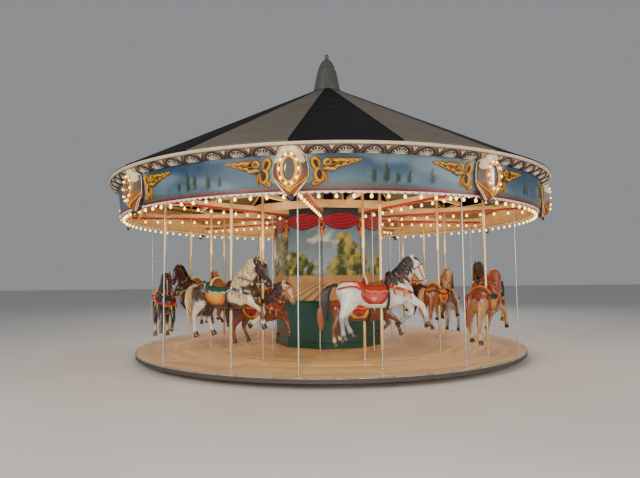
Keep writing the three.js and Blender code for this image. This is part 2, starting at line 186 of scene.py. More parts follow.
def moved(part, matrix):
    # each point times a 4 by 4 matrix
    matrix = np.asarray(matrix)
    return {**part, "points": part["points"] @ matrix[:3, :3].T + matrix[:3, 3]}


def aboutPole(angle, radius=0.0, height=0.0):
    # local x runs along the turning direction, local y inwards, and the place is at -Y turned by the angle
    turn = math.radians(angle)
    place = Matrix.Translation((radius * math.sin(turn), -radius * math.cos(turn), height))
    return np.array(place @ Matrix.Rotation(turn, 4, "Z"))


def copiesAt(part, matrices):
    # the part's points times every matrix, as one part
    matrices = np.asarray(matrices)
    count, size = len(matrices), len(part["points"])
    points = np.einsum("kij,nj->kni", matrices[:, :3, :3], part["points"]) + matrices[:, None, :3, 3]
    quads = part["quads"][None] + (np.arange(count) * size)[:, None, None]
    return {
        "points": points.reshape(-1, 3),
        "quads": quads.reshape(-1, 4),
        "slots": np.tile(part["slots"], count),
        "tint": np.tile(part["tint"], (count, 1)),
        "uv": np.tile(part["uv"], (count, 1)),
    }


def makePiece(name, parts, finishes, body="turntable", standsFor=(), closed=True, sharp=40):
    # puts the points and quads of all parts into one mesh, joins doubles, and hangs it on its body
    starts = np.cumsum([0] + [len(p["points"]) for p in parts])
    points = np.concatenate([p["points"] for p in parts])
    corners = np.concatenate([(p["quads"] + start).ravel() for p, start in zip(parts, starts)])
    sizes = np.concatenate([np.full(len(p["quads"]), p["quads"].shape[1]) for p in parts])
    tint = np.concatenate([p["tint"] for p in parts])
    uv = np.concatenate([p["uv"] for p in parts])
    mesh = bpy.data.meshes.new(name)
    mesh.vertices.add(len(points))
    mesh.vertices.foreach_set("co", points.ravel())
    mesh.loops.add(corners.size)
    mesh.loops.foreach_set("vertex_index", corners)
    mesh.polygons.add(len(sizes))
    mesh.polygons.foreach_set("loop_start", np.cumsum(sizes) - sizes)
    mesh.polygons.foreach_set("material_index", np.concatenate([p["slots"] for p in parts]))
    mesh.polygons.foreach_set("use_smooth", np.ones(len(sizes), bool))
    mesh.update(calc_edges=True)
    mesh.uv_layers.new(name="surface").data.foreach_set("uv", uv[corners].ravel())
    colours = mesh.attributes.new("tint", "FLOAT_COLOR", "POINT")
    colours.data.foreach_set("color", np.hstack([tint, np.ones((len(tint), 1))]).ravel())
    work = bmesh.new()
    work.from_mesh(mesh)
    bmesh.ops.remove_doubles(work, verts=work.verts, dist=1e-5)
    bmesh.ops.dissolve_degenerate(work, edges=work.edges, dist=1e-6)
    if closed:
        bmesh.ops.recalc_face_normals(work, faces=work.faces)
    work.to_mesh(mesh)
    work.free()
    mesh.set_sharp_from_angle(angle=math.radians(sharp))
    for finish in finishes:
        mesh.materials.append(finish)
    piece = bpy.data.objects.new(name, mesh)
    bpy.context.scene.collection.objects.link(piece)
    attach(piece, body)
    if standsFor:
        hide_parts(*standsFor)
    return piece


# Finishes

def newNodes(name):
    material = bpy.data.materials.new(name)
    material.use_nodes = True
    tree = material.node_tree
    return material, tree, tree.nodes["Principled BSDF"]


def addNode(tree, kind, inputs=(), **settings):
    node = tree.nodes.new("ShaderNode" + kind)
    for key, value in settings.items():
        setattr(node, key, value)
    for key, value in dict(inputs).items():
        if isinstance(value, bpy.types.NodeSocket):
            tree.links.new(value, node.inputs[key])
        else:
            node.inputs[key].default_value = value
    return node


def mathNode(tree, operation, a, b=0.0, c=None):
    inputs = {0: a, 1: b} if c is None else {0: a, 1: b, 2: c}
    return addNode(tree, "Math", inputs, operation=operation).outputs[0]


def mixColour(tree, factor, a, b, kind="MIX"):
    node = addNode(tree, "Mix", data_type="RGBA", blend_type=kind)
    for key, value in (("Factor", factor), ("A", a), ("B", b)):
        socket = next(s for s in node.inputs if s.name == key and (s.type == "RGBA" or key == "Factor"))
        if isinstance(value, bpy.types.NodeSocket):
            tree.links.new(value, socket)
        else:
            socket.default_value = value if key == "Factor" else (*value, 1.0)
    return next(s for s in node.outputs if s.type == "RGBA")


def noiseNode(tree, vector, scale, detail=5.0, roughness=0.55):
    inputs = {"Vector": vector, "Scale": scale, "Detail": detail, "Roughness": roughness}
    return addNode(tree, "TexNoise", inputs).outputs["Fac"]


def rangeNode(tree, value, low, high, toLow, toHigh):
    inputs = {"Value": value, "From Min": low, "From Max": high, "To Min": toLow, "To Max": toHigh}
    return addNode(tree, "MapRange", inputs).outputs["Result"]


def makeFinish(name, look):
    # colour varies with a broad noise, roughness with the same one, and the bump follows a fine one;
    # worn spots show the colour below where another noise is high
    material, tree, shader = newNodes(name)
    place = addNode(tree, "TexCoord").outputs["UV" if look.get("byUv") else "Object"]
    stretched = {"Vector": place, "Scale": look.get("stretch", (1, 1, 1))}
    place = addNode(tree, "Mapping", stretched).outputs["Vector"]
    broad = noiseNode(tree, place, look.get("grain", 6.0))
    fine = noiseNode(tree, place, look.get("fine", 90.0), 3.0)
    spread = look.get("vary", 0.15)
    shade = rangeNode(tree, broad, 0.3, 0.7, 1 - spread, 1 + spread)
    if look.get("tinted"):
        base = addNode(tree, "Attribute", attribute_name="tint").outputs["Color"]
        colour = mixColour(tree, 1.0, base, look.get("colour", (1, 1, 1)), "MULTIPLY")
    else:
        second = look.get("second", look["colour"])
        colour = mixColour(tree, rangeNode(tree, fine, 0.35, 0.65, 0.0, 1.0), look["colour"], second)
    shadeColour = addNode(tree, "CombineColor", {0: shade, 1: shade, 2: shade}).outputs[0]
    colour = mixColour(tree, 1.0, colour, shadeColour, "MULTIPLY")
    if "worn" in look:
        spots = noiseNode(tree, place, look.get("wornScale", 14.0), 8.0, 0.7)
        edge = look.get("wornFrom", 0.66)
        mask = rangeNode(tree, spots, edge, edge + 0.03, 0.0, look.get("wornMost", 0.8))
        colour = mixColour(tree, mask, colour, look["worn"])
    tree.links.new(colour, shader.inputs["Base Color"])
    rough = look.get("rough", 0.5)
    roughSpread = look.get("roughVary", 0.12)
    uneven = rangeNode(tree, broad, 0.3, 0.7, max(0.03, rough - roughSpread), min(1.0, rough + roughSpread))
    tree.links.new(uneven, shader.inputs["Roughness"])
    bump = addNode(tree, "Bump", {"Height": fine, "Strength": look.get("bump", 0.15), "Distance": 0.002})
    tree.links.new(bump.outputs["Normal"], shader.inputs["Normal"])
    shader.inputs["Metallic"].default_value = look.get("metal", 0.0)
    shader.inputs["Specular IOR Level"].default_value = look.get("specular", 0.5)
    shader.inputs["Coat Weight"].default_value = look.get("coat", 0.0)
    shader.inputs["Coat Roughness"].default_value = look.get("coatRough", 0.15)
    shader.inputs["Sheen Weight"].default_value = look.get("sheen", 0.0)
    return material


def dress(finish, *nodes):
    # puts a finish on solids that show as they are
    for node in nodes:
        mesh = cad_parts[node].data
        mesh.materials.clear()
        mesh.materials.append(finish)


commonLooks = {
    "whitePaint": {"colour": (0.83, 0.80, 0.74), "second": (0.74, 0.70, 0.62), "rough": 0.4,
                   "worn": (0.45, 0.40, 0.33), "wornFrom": 0.72},
    "creamPaint": {"colour": (0.80, 0.70, 0.50), "second": (0.70, 0.58, 0.38), "rough": 0.45,
                   "worn": (0.40, 0.30, 0.18), "wornFrom": 0.7},
    "blackPaint": {"colour": (0.025, 0.022, 0.022), "second": (0.045, 0.038, 0.034), "rough": 0.45,
                   "bump": 0.1},
    "brass": {"colour": (0.80, 0.61, 0.31), "second": (0.70, 0.51, 0.24), "rough": 0.30, "metal": 0.65,
              "stretch": (1, 1, 0.2), "vary": 0.14, "bump": 0.06},
    "steelRod": {"colour": (0.66, 0.65, 0.62), "second": (0.55, 0.54, 0.52), "rough": 0.3, "metal": 0.9,
                 "stretch": (1, 1, 0.15), "bump": 0.05},
    "darkIron": {"colour": (0.06, 0.055, 0.05), "second": (0.10, 0.08, 0.065), "rough": 0.6, "metal": 0.4,
                 "worn": (0.22, 0.12, 0.07), "wornFrom": 0.68},
}
common = {name: makeFinish(name, look) for name, look in commonLooks.items()}


# Camera, floor and light

camera = {
    "place": (-0.0867, -11.1667, 1.5815),
    "focal": 512.14,          # pixels, in a picture 640 wide
    "pictureWidth": 640,
    "pitch": 4.1343,          # upwards
    "yaw": -0.5391,           # to the left
    "roll": 0.5933,           # the right side of the picture stands higher
}


def makeCamera(facts):
    # the view direction from pitch and yaw, then the roll about it
    pitch, yaw, roll = (math.radians(facts[k]) for k in ("pitch", "yaw", "roll"))
    ahead = np.array([math.sin(yaw) * math.cos(pitch), math.cos(yaw) * math.cos(pitch), math.sin(pitch)])
    right = np.array([math.cos(yaw), -math.sin(yaw), 0.0])
    up = np.cross(right, ahead)
    tiltedRight = math.cos(roll) * right - math.sin(roll) * up
    tiltedUp = math.sin(roll) * right + math.cos(roll) * up
    turn = np.eye(4)
    turn[:3, 0], turn[:3, 1], turn[:3, 2], turn[:3, 3] = tiltedRight, tiltedUp, -ahead, facts["place"]
    data = bpy.data.cameras.new("camera")
    data.sensor_width = 36.0
    data.lens = facts["focal"] / facts["pictureWidth"] * data.sensor_width
    data.clip_end = 200.0
    seen = bpy.data.objects.new("camera", data)
    seen.matrix_world = Matrix(turn.tolist())
    bpy.context.scene.collection.objects.link(seen)
    bpy.context.scene.camera = seen


studio = {
    "floorHalf": 60.0,
    "floorColour": (0.62, 0.60, 0.57),
    "worldColour": (0.78, 0.80, 0.84),
    "worldStrength": 0.36,
    "aim": (0, 0, 2.2),
    "lamps": [                # place, size, watts, colour
        ((-9.0, -12.0, 7.0), 7.0, 1150, (1.0, 0.96, 0.90)),
        ((11.0, -8.0, 5.0), 7.0, 620, (1.0, 0.97, 0.94)),
        ((0.5, -10.5, 0.7), 5.0, 420, (1.0, 0.90, 0.78)),
        ((2.0, 12.0, 10.0), 9.0, 700, (1.0, 0.98, 0.95)),
    ],
    "glow": [                 # warm light of the bulbs: radius, height, turned up or down, size, watts
        (2.75, 2.05, 1, 1.1, 24),
        (3.30, 2.66, -1, 0.9, 15),
    ],
    "glowColour": (1.0, 0.70, 0.38),
}


def makeLamp(name, place, away, size, watts, colour):
    # a round soft light, unseen itself, that shines against the direction away
    data = bpy.data.lights.new(name, "AREA")
    data.shape = "DISK"
    data.size = size
    data.energy = watts
    data.color = colour
    lamp = bpy.data.objects.new(name, data)
    lamp.matrix_world = Matrix.Translation(place) @ away.to_track_quat("Z", "Y").to_matrix().to_4x4()
    lamp.visible_camera = False
    lamp.visible_glossy = name == "softBox"
    bpy.context.scene.collection.objects.link(lamp)


def makeStudio(facts):
    # a flat grid for the floor, an even sky, soft boxes outside and warm light under the roof
    steps = np.linspace(-facts["floorHalf"], facts["floorHalf"], 9)
    x, y = np.meshgrid(steps, steps)
    floorPart = gridPart(np.stack([x, y, np.zeros_like(x)], -1))
    mesh = bpy.data.meshes.new("floor")
    mesh.from_pydata(floorPart["points"].tolist(), [], floorPart["quads"].tolist())
    floor = bpy.data.objects.new("floor", mesh)
    look = {"colour": facts["floorColour"], "vary": 0.03, "grain": 0.6, "rough": 0.85, "bump": 0.02}
    mesh.materials.append(makeFinish("floorPaint", look))
    bpy.context.scene.collection.objects.link(floor)
    world = bpy.data.worlds.new("studio")
    world.use_nodes = True
    background = world.node_tree.nodes["Background"]
    background.inputs["Color"].default_value = (*facts["worldColour"], 1.0)
    background.inputs["Strength"].default_value = facts["worldStrength"]
    bpy.context.scene.world = world
    for place, size, watts, colour in facts["lamps"]:
        makeLamp("softBox", place, Vector(place) - Vector(facts["aim"]), size, watts, colour)
    for radius, height, up, size, watts in facts["glow"]:
        for angle in bayCentres:
            place = polar(radius, angle, height).tolist()
            makeLamp("glow", place, Vector((0, 0, -up)), size, watts, facts["glowColour"])


makeCamera(camera)
makeStudio(studio)
print("camera, floor and light are set")


# Platform: planks laid across the joists, with an iron edge

platform = {
    "hole": 0.90,
    "plankWidth": 0.118,
    "plankGap": 0.003,
    "plankDepth": 0.034,
    "chamfer": 0.0025,
    "edge": 3.924,           # where the planks stop, behind the nosing
    "fasciaLow": 0.0838,
    "tones": (0.82, 1.12),
    "rodSides": 14,
    "hangerRadius": 0.011,
    "guideRadius": 0.012,
    "guideTop": 0.600,
    "rodGap": 0.0003,        # between a hanger and the sweep above it
    "joistInner": 0.98,
    "joistHalf": 0.030,
    "joistWall": 0.006,
    # round foot of a rod: radius and height over the planks
    "collar": [(0.0105, 0.0), (0.030, 0.0), (0.032, 0.004), (0.018, 0.012), (0.016, 0.030), (0.0105, 0.034)],
}


def makePlanks(facts):
    # A plank keeps one distance d from the centre pole, so its radius at the angle f from the
    # middle of its sector is d over the cosine of f, and no more than the platform's edge.
    top = machine["deckTop"]
    half = bayAngle / 4
    d = np.arange(facts["hole"], facts["edge"], facts["plankWidth"])
    near, far = d, np.minimum(d + facts["plankWidth"] - facts["plankGap"], facts["edge"])
    near, far = near[far - near > 0.03], far[far - near > 0.03]
    low, c = top - facts["plankDepth"], facts["chamfer"]
    offsets = [(near, low), (near, top - c), (near + c, top), (far - c, top), (far, top - c), (far, low)]
    spread = np.radians(np.linspace(-half + 0.03, half - 0.03, 5))
    rng = np.random.default_rng(4)
    parts = []
    for sector in range(2 * machine["bays"]):
        middle = machine["firstSeam"] + half + sector * 2 * half
        loops = []
        for across, height in offsets:
            radius = np.minimum(across[:, None] / np.cos(spread), facts["edge"])
            loops.append(polar(radius, middle + np.degrees(spread), height))
        rings = np.stack(loops, 2)                       # plank, place along it, corner
        ends = rings.mean(2, keepdims=True).repeat(rings.shape[2], 2)
        rings = np.concatenate([ends[:, :1], rings, ends[:, -1:]], 1)
        tones = rng.uniform(*facts["tones"], len(near)) * rng.choice([1.0, 1.0, 0.93], len(near))
        along = np.concatenate([spread[:1], spread, spread[-1:]]) * near[:, None]
        shift = rng.uniform(0, 9, len(near))
        for k in range(len(near)):
            u, v = along[k][:, None] + shift[k], np.arange(6.0)[None] * 0.02 + shift[k]
            uv = np.stack(np.broadcast_arrays(u, v), -1)
            parts.append(gridPart(rings[k], closeCols=True, tint=np.full(3, tones[k]), uv=uv))
    return parts


def makeRods(facts):
    # hangers run from the iron up to the sweeps with a collar at each end, guides stand in one collar
    sides = facts["rodSides"]
    low, onDeck = machine["ironTop"], Matrix.Translation((0, 0, machine["deckTop"]))
    parts = []
    for at in (machine["outerHanger"], machine["innerHanger"]):
        top = underSweep(at) - facts["rodGap"]
        foot = spin(facts["collar"], sides, closeProfile=True)
        head = moved(foot, Matrix.Translation((0, 0, top)) @ Matrix.Diagonal((1, 1, -1, 1)))
        whole = [shaft(low, top, facts["hangerRadius"], sides, 9), moved(foot, onDeck), head]
        parts += [copiesAt(p, [aboutPole(a, at) for a in seams]) for p in whole]
    wider = [(r + 0.001, z) for r, z in facts["collar"]]
    for at in (machine["outerRow"], machine["innerRow"]):
        bar = shaft(low, facts["guideTop"], facts["guideRadius"], sides, 5)
        foot = moved(spin(wider, sides, closeProfile=True), onDeck)
        parts += [copiesAt(p, [aboutPole(a, at) for a in bayCentres]) for p in (bar, foot)]
    return parts


def makeUndercarriage(facts):
    # the fascia and the inner ring are bands of revolution; the joists are channels
    low, high = facts["fasciaLow"], machine["ironTop"]
    edge = machine["deckRadius"]
    fascia = [(edge - 0.046, low), (edge - 0.006, low), (edge - 0.002, low + 0.004), (edge - 0.002, 0.152),
              (edge - 0.010, 0.154), (edge - 0.022, 0.154), (edge - 0.022, high), (edge - 0.046, high)]
    inner = [(0.96, low), (1.01, low), (1.01, high), (0.96, high)]
    along = np.linspace(facts["joistInner"], edge - 0.03, 6)
    path = along[:, None] * (0, -1, 0) + (0, 0, (low + high) / 2)
    w, h, wall = facts["joistHalf"], (high - low - 0.001) / 2, facts["joistWall"]
    channel = [(-w, -h), (w, -h), (w, -h + wall), (-w + wall, -h + wall),
               (-w + wall, h - wall), (w, h - wall), (w, h), (-w, h)]
    joist = carry(path, channel, (0, 0, 1))
    angles = machine["firstSeam"] + np.arange(2 * machine["bays"]) * bayAngle / 2
    return [spin(fascia, 180, closeProfile=True), spin(inner, 72, closeProfile=True),
            copiesAt(joist, [aboutPole(a) for a in angles])]


deckFinish = makeFinish("deckPlanks", {
    "tinted": True, "colour": (0.74, 0.47, 0.22), "vary": 0.2, "grain": 5.0, "fine": 30.0,
    "stretch": (1, 14, 1), "byUv": True, "rough": 0.42, "roughVary": 0.1, "bump": 0.3, "coat": 0.25,
    "coatRough": 0.3, "worn": (0.36, 0.24, 0.14), "wornScale": 2.2, "wornFrom": 0.6, "wornMost": 0.45})
makePiece("deck_planks", makePlanks(platform), [deckFinish], standsFor=["deck"])
nosing = [(3.924, 0.128), (3.947, 0.1525), (3.947, 0.160), (3.943, 0.164), (3.924, 0.164)]   # radius, height
makePiece("deck_nosing", [spin(nosing, 180, closeProfile=True)], [common["steelRod"]])
makePiece("platform_iron", makeUndercarriage(platform), [common["darkIron"]],
          standsFor=["platform_frame"])
makePiece("platform_rods", makeRods(platform), [common["steelRod"]])
print("platform laid")


# The drum: green wainscot and painted panels

greenPaint = makeFinish("greenPaint", {
    "colour": (0.007, 0.072, 0.048), "second": (0.005, 0.052, 0.038), "vary": 0.18, "grain": 2.2,
    "rough": 0.32, "coat": 0.3, "bump": 0.06, "worn": (0.02, 0.05, 0.04), "wornFrom": 0.7})
dress(greenPaint, "wainscot")
dress(common["darkIron"], "base_frame", "centre_pole")
dress(common["blackPaint"], "picture_drum")

drum = {
    "panelLow": 1.101,
    "panelHigh": 2.90,
    "panelStep": 0.006,      # how far a panel stands off the drum
    "panelInset": 0.003,
    "edgeShade": 0.08,
    "columns": 38,
    "rows": 76,
    "horizon": 1.62,
    "skyTop": (0.030, 0.042, 0.055),
    "skyHigh": (0.060, 0.150, 0.275),
    "skyLow": (0.30, 0.43, 0.51),
    "cloud": (0.78, 0.80, 0.78),
    "field": (0.50, 0.29, 0.11),
    "furrow": (0.085, 0.036, 0.012),
    "furrows": 2.6,
    "leaf": (0.46, 0.40, 0.085),
    "leafMid": (0.20, 0.22, 0.045),
    "leafDark": (0.035, 0.055, 0.016),
    "hill": (0.25, 0.30, 0.24),
    # masses of leaves: angle round the drum, height over the horizon, half width in metres
    "trees": [(16, 0.86, 0.26), (35, 0.48, 0.30), (72, 0.62, 0.34), (98, 0.95, 0.24), (138, 0.55, 0.36),
              (160, 0.80, 0.24), (204, 0.90, 0.28), (226, 0.50, 0.30), (262, 0.70, 0.34), (300, 0.92, 0.25),
              (322, 0.52, 0.32)],
}


def blend(base, colour, amount):
    # the base colour goes over into another by an amount from 0 to 1
    return base * (1 - amount[..., None]) + np.array(colour) * amount[..., None]


def softStep(value, low, high):
    # 0 below low, 1 above high, and between them 3 t squared less 2 t cubed
    t = np.clip((value - low) / (high - low), 0, 1)
    return t * t * (3 - 2 * t)


def paintCountry(angle, height, facts):
    # sky with clouds, low hills, ploughed land whose furrows run to points on the horizon, and trees
    place = np.stack([np.sin(np.radians(angle)), np.cos(np.radians(angle)), height], -1)
    horizon = facts["horizon"] + 0.05 * np.sin(np.radians(angle * 3)) + 0.02 * np.sin(np.radians(angle * 11))
    tone = softStep(height, horizon, facts["panelHigh"])
    colour = blend(np.broadcast_to(facts["skyLow"], place.shape), facts["skyHigh"], tone)
    clouds = noise3(place * (1, 1, 2.6), 5, 1) + 0.6 * noise3(place * (1, 1, 2.2), 13, 2)
    billow = softStep(clouds + 0.25 * noise3(place, 40, 9), 0.10, 0.50)
    billow = billow * softStep(height, horizon, horizon + 0.35)
    colour = blend(colour, facts["cloud"], 0.8 * billow * softStep(-height, -2.62, -2.30))
    hills = horizon + 0.10 + 0.07 * np.sin(np.radians(angle * 5 + 40)) + 0.03 * np.sin(np.radians(angle * 13))
    colour = blend(colour, facts["hill"], softStep(hills - height, 0.0, 0.02))
    below = np.maximum(horizon - height, 0)
    aside = np.radians(118 - angle % 120) * machine["drumCorner"] + 0.5
    depth = np.maximum(facts["horizon"] - height, 0) + 0.16
    lines = softStep(np.cos(2 * np.pi * facts["furrows"] * aside / depth), 0.10, 0.90)
    lines = lines * softStep(below, 0.04, 0.16) * np.clip(1.5 - 0.5 * np.abs(aside), 0.35, 1)
    land = blend(np.broadcast_to(facts["field"], place.shape), facts["furrow"], lines * 0.8)
    land = land * (1 + 0.25 * noise3(place, 22, 3))[..., None]
    colour = np.where((height < horizon)[..., None], land, colour)
    for at, tall, half in facts["trees"]:
        across = (((angle - at + 180) % 360) - 180) * math.pi / 180 * machine["drumCorner"]
        share = np.clip((height - facts["horizon"] + 0.03) / tall, 0, 1)
        outline = half * np.sqrt(np.clip(1 - (np.maximum(share - 0.35, 0) / 0.65) ** 2, 0, 1))
        rough = 1 + 0.75 * noise3(place, 10, at) + 0.55 * noise3(place, 34, at + 2)
        crown = softStep(outline * rough - np.abs(across), -0.01, 0.055)
        crown = crown * (height > facts["horizon"] - 0.03) * (share < 1)
        tone = 0.5 + noise3(place, 30, at + 1) + 0.5 * noise3(place, 70, at + 3)
        tone = tone + 0.5 * (share - 0.5) - 0.8 * across
        dark = np.broadcast_to(facts["leafDark"], place.shape)
        leaf = blend(dark, facts["leafMid"], softStep(tone, 0.1, 0.45))
        leaf = blend(leaf, facts["leaf"], softStep(tone, 0.45, 0.95))
        colour = colour * (1 - crown[..., None]) + leaf * crown[..., None]
    colour = blend(colour, facts["skyTop"], softStep(height, 2.74, 2.77))
    return colour


def makeDrumPanels(facts):
    # each panel is a flat board: x across, z up, with a front grid and a plain back
    half, flat = drumSide(facts["panelInset"])
    across = np.linspace(-half, half, facts["columns"])
    x, z = np.meshgrid(across, np.linspace(facts["panelLow"], facts["panelHigh"], facts["rows"]))
    front = np.stack([x, np.full_like(x, -flat - facts["panelStep"]), z], -1)
    back = front + (0, facts["panelStep"] - 0.0005, 0)
    board = np.concatenate([back[:1], front, back[-1:]])
    sides = [np.stack([back[:, 0], front[:, 0]], 1), np.stack([front[:, -1], back[:, -1]], 1)]
    parts = []
    for centre in bayCentres:
        tint = paintCountry(centre + np.degrees(np.arctan2(x, flat)), z, facts)
        turned = aboutPole(centre)
        parts.append(moved(gridPart(board, tint=np.concatenate([tint[:1], tint, tint[-1:]])), turned))
        parts += [moved(gridPart(s, tint=np.full(3, facts["edgeShade"])), turned) for s in sides]
    return parts


paintedBoard = makeFinish("paintedBoard", {
    "tinted": True, "vary": 0.10, "grain": 8.0, "fine": 60.0, "rough": 0.42, "bump": 0.12, "coat": 0.12})
makePiece("drum_pictures", makeDrumPanels(drum), [paintedBoard], closed=False)
print("drum painted")


# Sweeps and beams overhead

def makeTimber(name, look, redBelow=None):
    # clear varnished timber; below a level that rises outwards from the pole it is painted red
    material = makeFinish(name, look)
    if redBelow:
        tree = material.node_tree
        shader = tree.nodes["Principled BSDF"]
        place = addNode(tree, "TexCoord").outputs["Object"]
        split = addNode(tree, "SeparateXYZ", {0: place})
        flat = addNode(tree, "CombineXYZ", {0: split.outputs[0], 1: split.outputs[1]}).outputs[0]
        radius = addNode(tree, "VectorMath", {0: flat}, operation="LENGTH").outputs["Value"]
        level = mathNode(tree, "MULTIPLY_ADD", radius, redBelow["rise"], redBelow["height"])
        red = mathNode(tree, "LESS_THAN", split.outputs[2], level)
        clear = shader.inputs["Base Color"].links[0].from_socket
        tree.links.new(mixColour(tree, red, clear, redBelow["colour"]), shader.inputs["Base Color"])
    return material


timberLook = {"colour": (0.76, 0.53, 0.28), "second": (0.64, 0.42, 0.20), "vary": 0.25, "grain": 2.5,
              "fine": 24.0, "rough": 0.48, "bump": 0.22, "coat": 0.15, "worn": (0.30, 0.18, 0.10),
              "wornFrom": 0.68}
sweepRed = {"rise": machine["sweepRise"], "height": underSweep(0) + 0.036, "colour": (0.40, 0.03, 0.025)}
sweepTimber = makeTimber("sweepTimber", timberLook, sweepRed)
beamTimber = makeTimber("beamTimber", timberLook)
roofLook = {**timberLook, "colour": (0.55, 0.37, 0.19), "second": (0.42, 0.28, 0.14)}
roofTimber = makeTimber("roofTimber", roofLook)
dress(sweepTimber, "sweeps")
dress(beamTimber, "ring_beam_inner", "ring_beam_outer", "pole_rails")
dress(roofTimber, "rafters")

braces = {
    "path": [(0.032, -3.42, 2.885), (0.251, -3.61, 2.895), (0.47, -3.80, 2.905)],
    "section": (0.030, 0.045, 0.003),                    # width, height, chamfer
}


def makeBraces(facts):
    # a bar slanting from each sweep to the outer ring beam, and its mirror image
    strut = carry(facts["path"], barSection(*facts["section"]), (0, 0, 1))
    other = moved(strut, np.diag([-1, 1, 1, 1]))
    return [copiesAt(p, [aboutPole(a) for a in seams]) for p in (strut, other)]


makePiece("sweep_braces", makeBraces(braces), [beamTimber])
print("beams finished")


# Rounding boards: painted panels, a red band with beads, a scalloped trim and a carved crest

boards = {
    "face": [(4.250, 2.735), (4.254, 2.815), (4.290, 3.255), (4.345, 3.266), (4.415, 3.306), (4.445, 3.3447)],
    "thickness": 0.026,
    "ring": 4.25,            # radius at which lengths along a board are counted, and a board's length
    "run": 2.968,
    "gap": 0.004,            # degrees left free at each end
    "columns": 96,           # across one bay
    "panelRows": 20,
    "panelLow": 2.800,
    "panelHigh": 3.255,
    "skyHigh": (0.012, 0.044, 0.092),
    "skyLow": (0.060, 0.120, 0.165),
    "besideShield": (0.28, 0.35, 0.35),
    "cloud": (0.20, 0.27, 0.31),
    "hill": (0.055, 0.085, 0.075),
    "tree": (0.014, 0.022, 0.020),
    "treeLight": (0.07, 0.11, 0.06),
    "trees": 5,
    "treesFrom": 0.98,       # along the board, and the length over which they stand
    "treesRun": 1.05,
    "cove": (0.26, 0.19, 0.12),
    "back": (0.84, 0.56, 0.28),
    "edgeShade": 0.1,
    "bands": [               # height up to which each colour runs, from below
        (2.741, (0.80, 0.77, 0.70)), (2.746, (0.02, 0.012, 0.014)), (2.786, (0.115, 0.003, 0.006)),
        (2.790, (0.40, 0.22, 0.16)), (2.797, (0.014, 0.010, 0.016)),
    ],
}


def boardRadius(height):
    # the outer face of the boards: straight lines between the corners of its outline
    radii, levels = np.array(boards["face"]).T
    return np.interp(height, levels, radii)


def paintSky(along, height, bay, facts):
    # blue sky, pale beside the shields, with clouds; on the hills stand dark pointed trees whose
    # half width is a sine of the height, and each is lighter on its left side
    low, high = facts["panelLow"], facts["panelHigh"]
    place = np.stack([along, height * 2.6, np.full_like(along, bay * 7.3)], -1)
    up = (height - low) / (high - low)
    mix = softStep(up + 0.25 * noise3(place, 2.2, 4), 0.0, 0.9)
    colour = blend(np.broadcast_to(facts["skyLow"], place.shape), facts["skyHigh"], mix)
    streaks = noise3(place, 3.4, 5) + 0.7 * noise3(place, 9.0, 6)
    colour = blend(colour, facts["cloud"], 0.55 * softStep(streaks, 0.10, 0.70))
    edge = np.exp(-(np.minimum(along, facts["run"] - along) / 0.33) ** 4)
    colour = blend(colour, facts["besideShield"], 0.85 * edge * (0.6 + 0.4 * mix))
    ridge = low + 0.050 + 0.035 * np.sin(along * 2.1 + bay * 1.7) + 0.012 * noise3(place, 17, 8)
    colour = blend(colour, facts["hill"], softStep(ridge - height, 0.0, 0.020) * 0.85)
    rng = np.random.default_rng(100 + bay)
    steps = np.arange(facts["trees"]) + rng.uniform(0.15, 0.85, facts["trees"])
    for at in facts["treesFrom"] + facts["treesRun"] * steps / facts["trees"]:
        size = rng.uniform(0.17, 0.30)
        foot = low + 0.035 + rng.uniform(0, 0.02)
        share = np.clip((height - foot) / size, 0, 1)
        half = size * 0.20 * np.sin(np.pi * share ** 0.62) ** 0.9 * (1 + 0.16 * noise3(place, 60, 70 + bay))
        inside = softStep(half - np.abs(along - at), 0.0, 0.006) * ((share > 0) & (share < 1))
        light = softStep((at - along) / (half + 0.01) + 0.5 * noise3(place, 45, 60 + bay), 0.1, 0.8)
        leaf = blend(np.broadcast_to(facts["tree"], place.shape), facts["treeLight"], light)
        colour = colour * (1 - inside[..., None]) + leaf * inside[..., None]
    return colour


def makeBoard(number, facts):
    # rows follow the outline of the board's section, columns follow the turn of the ring
    face = np.array(facts["face"])
    lines = np.array([limit for limit, colour in facts["bands"]])
    edges = np.stack([lines, lines + 0.0002], -1).ravel()
    panel = np.linspace(facts["panelLow"], facts["panelHigh"] - 0.003, facts["panelRows"])
    levels = np.concatenate([face[:1, 1], edges, panel, face[2:, 1]])
    radii = np.interp(levels, face[:, 1], face[:, 0])
    backLevels = np.array([face[-1, 1], facts["panelHigh"], 2.9, face[0, 1]])
    backRadii = np.interp(backLevels, face[:, 1], face[:, 0]) - facts["thickness"]
    radius = np.concatenate([radii, backRadii])[:, None]
    level = np.concatenate([levels, backLevels])[:, None]
    angles = seams[number] + np.linspace(facts["gap"], bayAngle - facts["gap"], facts["columns"])
    points = polar(radius, angles[None], level)
    along, height = np.broadcast_arrays(np.radians(angles - seams[number]) * facts["ring"], level)
    tint = paintSky(along, height, number, facts)
    tint = np.where((level > facts["panelHigh"] - 0.0005)[..., None], np.array(facts["cove"]), tint)
    for limit, colour in reversed(facts["bands"]):
        tint = np.where((level <= limit)[..., None], np.array(colour), tint)
    tint[len(levels):] = facts["back"]
    parts = [gridPart(points, closeRows=True, tint=tint)]
    for k in (0, -1):
        middle = np.broadcast_to(points[:, k].mean(0), points[:, k].shape)
        cap = np.stack([points[:, k], middle], 1)
        parts.append(gridPart(cap, closeRows=True, tint=np.full(3, facts["edgeShade"])))
    return parts


for number in range(machine["bays"]):
    makePiece(f"board_{number + 1}", makeBoard(number, boards), [paintedBoard],
              standsFor=[f"rounding_board_{number + 1}"])

trim = {
    "scallops": 252,
    "low": 2.704,
    "high": 2.738,
    "radius": 4.236,
    "depth": 0.007,
    "beads": 720,
    "beadRadius": 0.0050,
    "beadLevel": 2.767,
}


